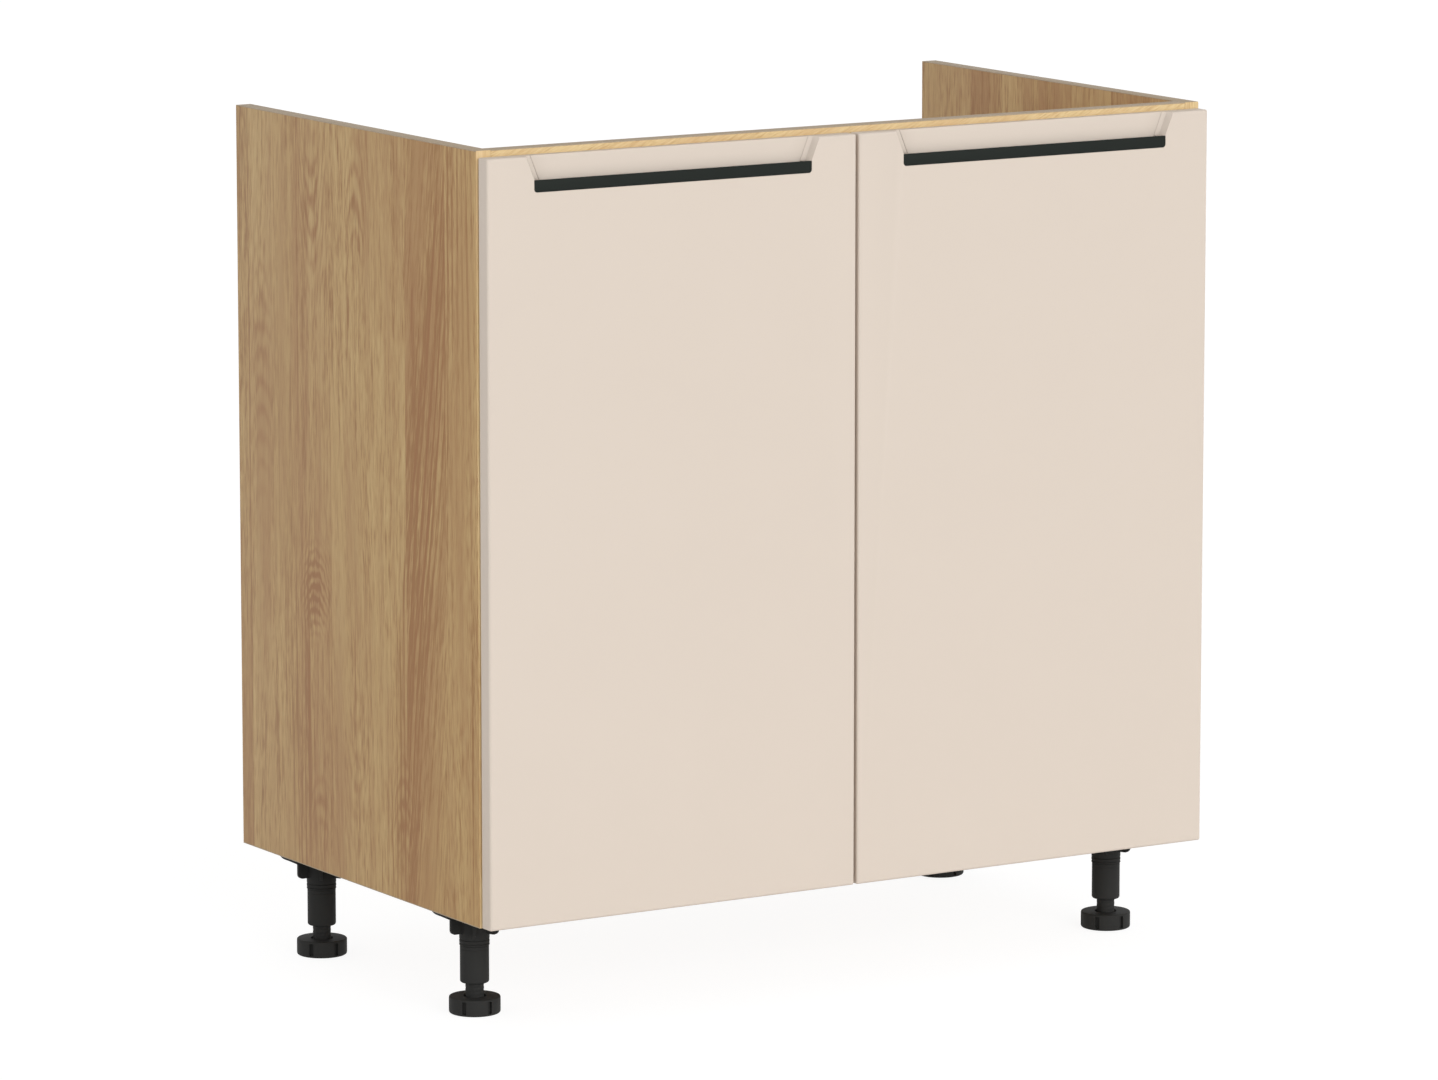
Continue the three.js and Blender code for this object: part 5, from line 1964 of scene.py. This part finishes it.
    def _plate(self) -> Workpiece:
        """Makes the mounting plate: two wings with their screws and a ridge for the arm.

        Returns:
            The plate.
        """
        length, height = self.plate_block
        to_wing = Matrix(((0, 0, 1, 0), (1, 0, 0, self.plate_line), (0, 1, 0, 0), (0, 0, 0, 1)))
        wing = rounded_rectangle(*self.plate_wing, self.plate_corner)
        plate = Workpiece(moved(prism(wing, 0, self.plate_thickness), to_wing))
        half = self.arm_inner_width / 2 - self.plate_play
        low, high = self.plate_line - length / 2, self.plate_line + length / 2
        plate.join(block((0, low, -half), (height, high, half))).soften(self.plate_edge, 3)
        to_panel = turn(90, Axis.Y)
        thread = rod(self.thread_radius, 0, self.thread_length)
        start = shift(height - self.thread_place, self.arm_screw_v, 0)
        plate.cut(moved(thread, to_panel, start))
        for sign in (-1, 1):
            z = sign * self.plate_screw_spacing / 2
            place = shift(self.plate_thickness, self.plate_line, z)
            plate.join(moved(self._screw_head(), to_panel, place))
            plate.cut(*self._cross(self.screw_head_radius, self.screw_rise, to_panel, place))
        return plate


# ------------------------------------------------------------------ the legs


@dataclass
class Leg:
    """An adjustable leg: mount, tube, threaded stem and foot. Depths run down from the carcass."""

    finishes: Finishes
    place: str
    flange_radius: float = 39.5
    flange_thickness: float = 3.5
    flange_chamfer: float = 0.8
    screw_circle: float = 31.0
    screw_count: int = 4
    screw_head: tuple[Point2, ...] = (
        (0, 0.4), (3.4, 0.4), (3.4, -0.15), (2.8, -0.65), (1.6, -0.8), (0, -0.8),
    )
    screw_cross: Point3 = (1.8, 0.45, 2.0)
    socket_radius: float = 14.25
    socket_depth: float = 35.2
    socket_wall: float = 2.6
    socket_chamfer: float = 0.3
    groove_depths: Point2 = (29.6, 33.2)
    groove_width: float = 1.5
    groove_depth: float = 0.7
    groove_steps: int = 8
    rib_reach: float = 25.8
    rib_depth: float = 23.6
    rib_gusset: float = 9.5
    rib_rim: float = 1.2
    rib_thickness: float = 3.2
    rib_corner: float = 4.5
    rib_count: int = 6
    tube_radius: float = 13.7
    tube_end_depth: float = 71.0
    tube_chamfer: float = 2.0
    tube_bore: float = 9.1
    tube_lip: float = 0.6
    ring_drop: float = 3.3
    ring_depth: float = 0.25
    ring_half: float = 0.3
    spigot_depth: float = 8.0
    fit: float = 0.25
    stem_radius: float = 8.75
    stem_flat: float = 8.0
    stem_top_depth: float = 46.0
    stem_facets: int = 48
    thread_pitch: float = 4.0
    thread_rows: int = 10
    thread_depth: float = 0.25
    thread_flank: float = 2.6
    thread_start: float = 0.2
    neck_radius: float = 7.0
    neck_depth: float = 8.0
    leg_height: float = 100.0
    foot_radius: float = 24.25
    foot_height: float = 16.0
    foot_rounds: Point2 = (2.0, 1.4)
    foot_edge: float = 0.25
    counterbore: Point2 = (10.5, 4.0)
    counterbore_bevel: float = 0.5
    notch: Point3 = (4.3, 3.0, 12.0)
    notch_corner: float = 0.8
    notch_count: int = 6
    notch_turn: float = 36.0

    def build(self) -> None:
        """Builds the four pieces of the leg."""
        low, high = corners(f"leg_foot_{self.place}")
        middle = (low + high) / 2
        home = shift(middle.x, middle.y, self.leg_height)
        makers = {"mount": self._mount, "tube": self._tube, "stem": self._stem, "foot": self._foot}
        for part, make in makers.items():
            name, node = f"leg.{part}.{self.place}", f"leg_{part}_{self.place}"
            install(name, make().copy(home), self.finishes.plastic, [node])

    def _mount(self) -> Workpiece:
        """Makes the mount: a round flange with screws, a grooved socket and radial ribs.

        Returns:
            The mount.
        """
        r, t, chamfer = self.flange_radius, self.flange_thickness, self.flange_chamfer
        flange = [(0, 0), (r, 0), (r, chamfer - t), (r - chamfer, -t), (0, -t)]
        mount = Workpiece(lathe(flange, FINE_ROUND)).join(lathe(self._socket_profile()))
        for i in range(self.rib_count):
            mount.join(moved(self._rib(), turn(360 * i / self.rib_count, Axis.Z)))
        mount.cut(rod(self.socket_radius - self.socket_wall, -t, -self.socket_depth - 1, ROUND))
        long, wide, deep = self.screw_cross
        for i in range(self.screw_count):
            angle = math.radians(45 + 360 * i / self.screw_count)
            x, y = self.screw_circle * math.cos(angle), self.screw_circle * math.sin(angle)
            place = shift(x, y, -t)
            mount.join(moved(lathe(self.screw_head, SMALL_ROUND), place))
            for a, b in ((long, wide), (wide, long)):
                mount.cut(moved(block((-a, -b, -deep), (a, b, 0.2)), place))
        return mount

    def _socket_profile(self) -> list[Point2]:
        """Gives the socket's outside with its two ring grooves.

        Returns:
            Radius and height of each point.
        """
        r, half, sunk = self.socket_radius, self.groove_width / 2, self.groove_depth
        end, chamfer = -self.socket_depth, self.socket_chamfer
        profile = [(0, end), (r - chamfer, end), (r, end + chamfer)]
        for depth in sorted(self.groove_depths, reverse=True):
            for i in range(self.groove_steps + 1):
                share = i / self.groove_steps
                height = -depth - half + 2 * half * share
                profile.append((r - sunk * math.sin(math.pi * share), height))
        return profile + [(r, 0), (0, 0)]

    def _rib(self) -> Draft:
        """Gives one rib, in X and Z: a round lower corner, and a gusset out to the flange's rim.

        Returns:
            The rib.
        """
        reach, depth, corner = self.rib_reach, self.rib_depth, self.rib_corner
        root, rim = self.socket_radius - 1, self.flange_radius - self.rib_rim
        outline = [(root, -1), (rim, -1), (rim, -self.flange_thickness), (reach, -self.rib_gusset)]
        outline += arc((reach - corner, corner - depth), corner, 0, -90, 10) + [(root, -depth)]
        half = self.rib_thickness / 2
        return moved(prism(outline, -half, half), turn(90, Axis.X))

    def _tube(self) -> Workpiece:
        """Makes the tube with its spigot, a fine ring and a chamfered end.

        Returns:
            The tube.
        """
        spigot = self.socket_radius - self.socket_wall - self.fit
        top, end, start = -self.socket_depth - self.fit, -self.tube_end_depth, -self.spigot_depth
        bore, outer, chamfer = self.tube_bore, self.tube_radius, self.tube_chamfer
        lip, half, ring = self.tube_lip, self.ring_half, top - self.ring_drop
        profile = [(bore, start), (bore, end + lip), (bore + lip, end)]
        profile += arc((outer - chamfer, end + chamfer), chamfer, -75, 0, 8)
        profile += [(outer, ring - half), (outer - self.ring_depth, ring), (outer, ring + half)]
        profile += [(outer, top - half), (outer - half, top), (spigot, top), (spigot, start)]
        return Workpiece(lathe(profile))

    def _stem(self) -> Workpiece:
        """Makes the stem: a coarse thread with two flats, and the neck that the foot turns on.

        Returns:
            The stem.
        """
        shoulder = self.foot_height - self.leg_height - self.counterbore[1] + self.fit
        bottom, top = shoulder + self.thread_start, -self.stem_top_depth
        turns, around = (top - bottom) / self.thread_pitch, self.stem_facets
        rows = round(turns * self.thread_rows)
        rings = [self._neck_ring(z, around) for z in (shoulder - self.neck_depth, shoulder)]
        for row in range(rows + 1):
            z = bottom + (top - bottom) * row / rows
            rings.append([self._thread_point(i / around, z) for i in range(around)])
        return Workpiece(loft(rings))

    def _neck_ring(self, z: float, around: int) -> list[Point3]:
        """Gives a ring of the stem's neck."""
        angles = [math.tau * i / around for i in range(around)]
        return [(self.neck_radius * math.cos(a), self.neck_radius * math.sin(a), z) for a in angles]

    def _thread_point(self, share: float, z: float) -> Point3:
        """Gives a point of the thread at a share of the turn and a height.

        Args:
            share: The share of the turn.
            z: The height.

        Returns:
            The point.
        """
        phase = (z / self.thread_pitch - share) % 1
        crest = min(1.0, self.thread_flank * abs(phase - 0.5))
        radius = self.stem_radius - self.thread_depth * (1 - crest)
        angle, flat = math.tau * share, self.stem_flat
        return (max(-flat, min(flat, radius * math.cos(angle))), radius * math.sin(angle), z)

    def _foot(self) -> Workpiece:
        """Makes the foot: a round disc with grip notches and a counterbore for the stem.

        Returns:
            The foot.
        """
        floor, top = -self.leg_height, self.foot_height - self.leg_height
        r, (below, above) = self.foot_radius, self.foot_rounds
        (wide, deep), bevel = self.counterbore, self.counterbore_bevel
        neck, end = self.neck_radius + self.fit, top - deep - self.neck_depth
        profile = [(0, floor)] + arc((r - below, floor + below), below, -90, 0, 8)
        profile += arc((r - above, top - above), above, 0, 90, 6)
        profile += [(wide + bevel, top), (wide, top - bevel), (wide, top - deep)]
        profile += [(neck, top - deep), (neck, end), (0, end)]
        foot = Workpiece(lathe(profile, FINE_ROUND))
        width, sunk, height = self.notch
        cutter = rounded_rectangle(width, height, self.notch_corner, 4)
        for i in range(self.notch_count):
            bar = moved(prism(cutter, r - sunk, r + 2), turn(90, Axis.X), turn(90, Axis.Z))
            angle = self.notch_turn + 360 * i / self.notch_count
            foot.cut(moved(bar, shift(0, 0, (floor + top) / 2), turn(angle, Axis.Z)))
        return foot.soften(self.foot_edge)


# ------------------------------------------------------------------ the studio

WHITE: Colour = (1.0, 1.0, 1.0, 1.0)
LEG_PLACES = ("front_left", "front_right", "rear_left", "rear_right")


@dataclass
class Studio:
    """A pale floor without an edge, a soft sun from the front and a camera."""

    camera_place: Point3 = (-3.8235, -6.1853, 1.6012)
    camera_azimuth: float = 31.692
    camera_pitch: float = 9.403
    lens_mm: float = 190.97
    sky_zenith: float = 0.35
    sky_horizon: float = 1.64
    sun_strength: float = 1.13
    sun_azimuth: float = 0.0
    sun_height: float = 18.0
    sun_spread: float = 35.0
    floor_size: float = 400.0
    floor_drop: float = 0.0005
    floor_plain: float = 0.8
    floor_shade: float = 0.2
    floor_glow: float = 0.9

    def build(self) -> None:
        """Builds the world, the lamp, the floor and the camera."""
        scene = bpy.context.scene
        scene.view_settings.view_transform = "Standard"
        self._world(scene)
        self._sun()
        self._floor()
        self._camera(scene)

    def _seen(self, graph: Graph) -> Socket:
        """Gives 1 for rays that the camera, a gloss or a glass sends out.

        Args:
            graph: A material's or the world's graph.

        Returns:
            The mask.
        """
        path = graph.add("ShaderNodeLightPath").outputs
        total = graph.plus(path["Is Camera Ray"], path["Is Glossy Ray"])
        return graph.math("ADD", total, path["Is Transmission Ray"], clamp=True)

    def _world(self, scene: bpy.types.Scene) -> None:
        """Makes a world that shows white, and lights the object from all round, more strongly near
        the horizon than from above.

        Args:
            scene: The scene.
        """
        world = bpy.data.worlds.new("studio")
        world.use_nodes = True
        scene.world = world
        graph = Graph(world.node_tree)
        background = world.node_tree.nodes["Background"]
        background.inputs["Color"].default_value = WHITE
        height = graph.split(graph.add("ShaderNodeTexCoord").outputs["Generated"])[2]
        low = graph.math("SUBTRACT", 1.0, height, clamp=True)
        extra = self.sky_horizon - self.sky_zenith
        sky = graph.math("MULTIPLY_ADD", graph.times(low, low), extra, self.sky_zenith)
        seen = self._seen(graph)
        kept = graph.times(sky, graph.minus(1.0, seen))
        graph.feed(background.inputs["Strength"], graph.plus(kept, seen))

    def _sun(self) -> None:
        """Makes the soft lamp."""
        data = bpy.data.lights.new("soft_sun", "SUN")
        data.energy = self.sun_strength
        data.angle = math.radians(self.sun_spread)
        lamp = placed("soft_sun", data)
        azimuth, height = math.radians(self.sun_azimuth), math.radians(self.sun_height)
        level = math.cos(height)
        towards = (-math.sin(azimuth) * level, -math.cos(azimuth) * level, math.sin(height))
        lamp.rotation_mode = "QUATERNION"
        lamp.rotation_quaternion = Vector(towards).to_track_quat("Z", "Y")

    def _floor(self) -> None:
        """Makes the floor, which shows pale and keeps the object's shadow."""
        material = bpy.data.materials.new("studio_floor")
        material.use_nodes = True
        graph, nodes = Graph(material.node_tree), material.node_tree.nodes
        nodes.remove(nodes["Principled BSDF"])
        plain, dark = (graph.add("ShaderNodeBsdfDiffuse") for _ in range(2))
        graph.feed(plain.inputs["Color"], shade(WHITE, self.floor_plain))
        graph.feed(dark.inputs["Color"], shade(WHITE, self.floor_shade))
        glow = graph.add("ShaderNodeEmission")
        graph.feed(glow.inputs["Strength"], self.floor_glow)
        both, choice = graph.add("ShaderNodeAddShader"), graph.add("ShaderNodeMixShader")
        for socket, value in zip(both.inputs, (dark.outputs[0], glow.outputs[0])):
            graph.feed(socket, value)
        shown = (self._seen(graph), plain.outputs[0], both.outputs[0])
        for socket, value in zip(choice.inputs, shown):
            graph.feed(socket, value)
        graph.feed(nodes["Material Output"].inputs["Surface"], choice.outputs[0])
        h = self.floor_size / 2
        mesh = bpy.data.meshes.new("studio_floor")
        mesh.from_pydata([(-h, -h, 0), (h, -h, 0), (h, h, 0), (-h, h, 0)], [], [(0, 1, 2, 3)])
        mesh.materials.append(material)
        floor = placed("studio_floor", mesh)
        floor.location.z = -self.floor_drop

    def _camera(self, scene: bpy.types.Scene) -> None:
        """Makes the camera at the photograph's viewing angle.

        Args:
            scene: The scene.
        """
        data = bpy.data.cameras.new("camera")
        data.lens = self.lens_mm
        camera = placed("camera", data)
        camera.location = self.camera_place
        tilt, heading = math.radians(90 - self.camera_pitch), math.radians(self.camera_azimuth)
        camera.rotation_euler = (tilt, 0, -heading)
        scene.camera = camera


def main() -> None:
    """Builds the studio and the cabinet, piece by piece."""
    logging.basicConfig(level=logging.INFO, format="%(name)s: %(message)s")
    Studio().build()
    finishes = Finishes()
    pieces = [Carcass(finishes), ConcealedHinge(finishes)]
    pieces += [Door(finishes, hand) for hand in Hand]
    pieces += [Leg(finishes, place) for place in LEG_PLACES]
    for piece in pieces:
        piece.build()


if __name__ == "__main__":
    main()
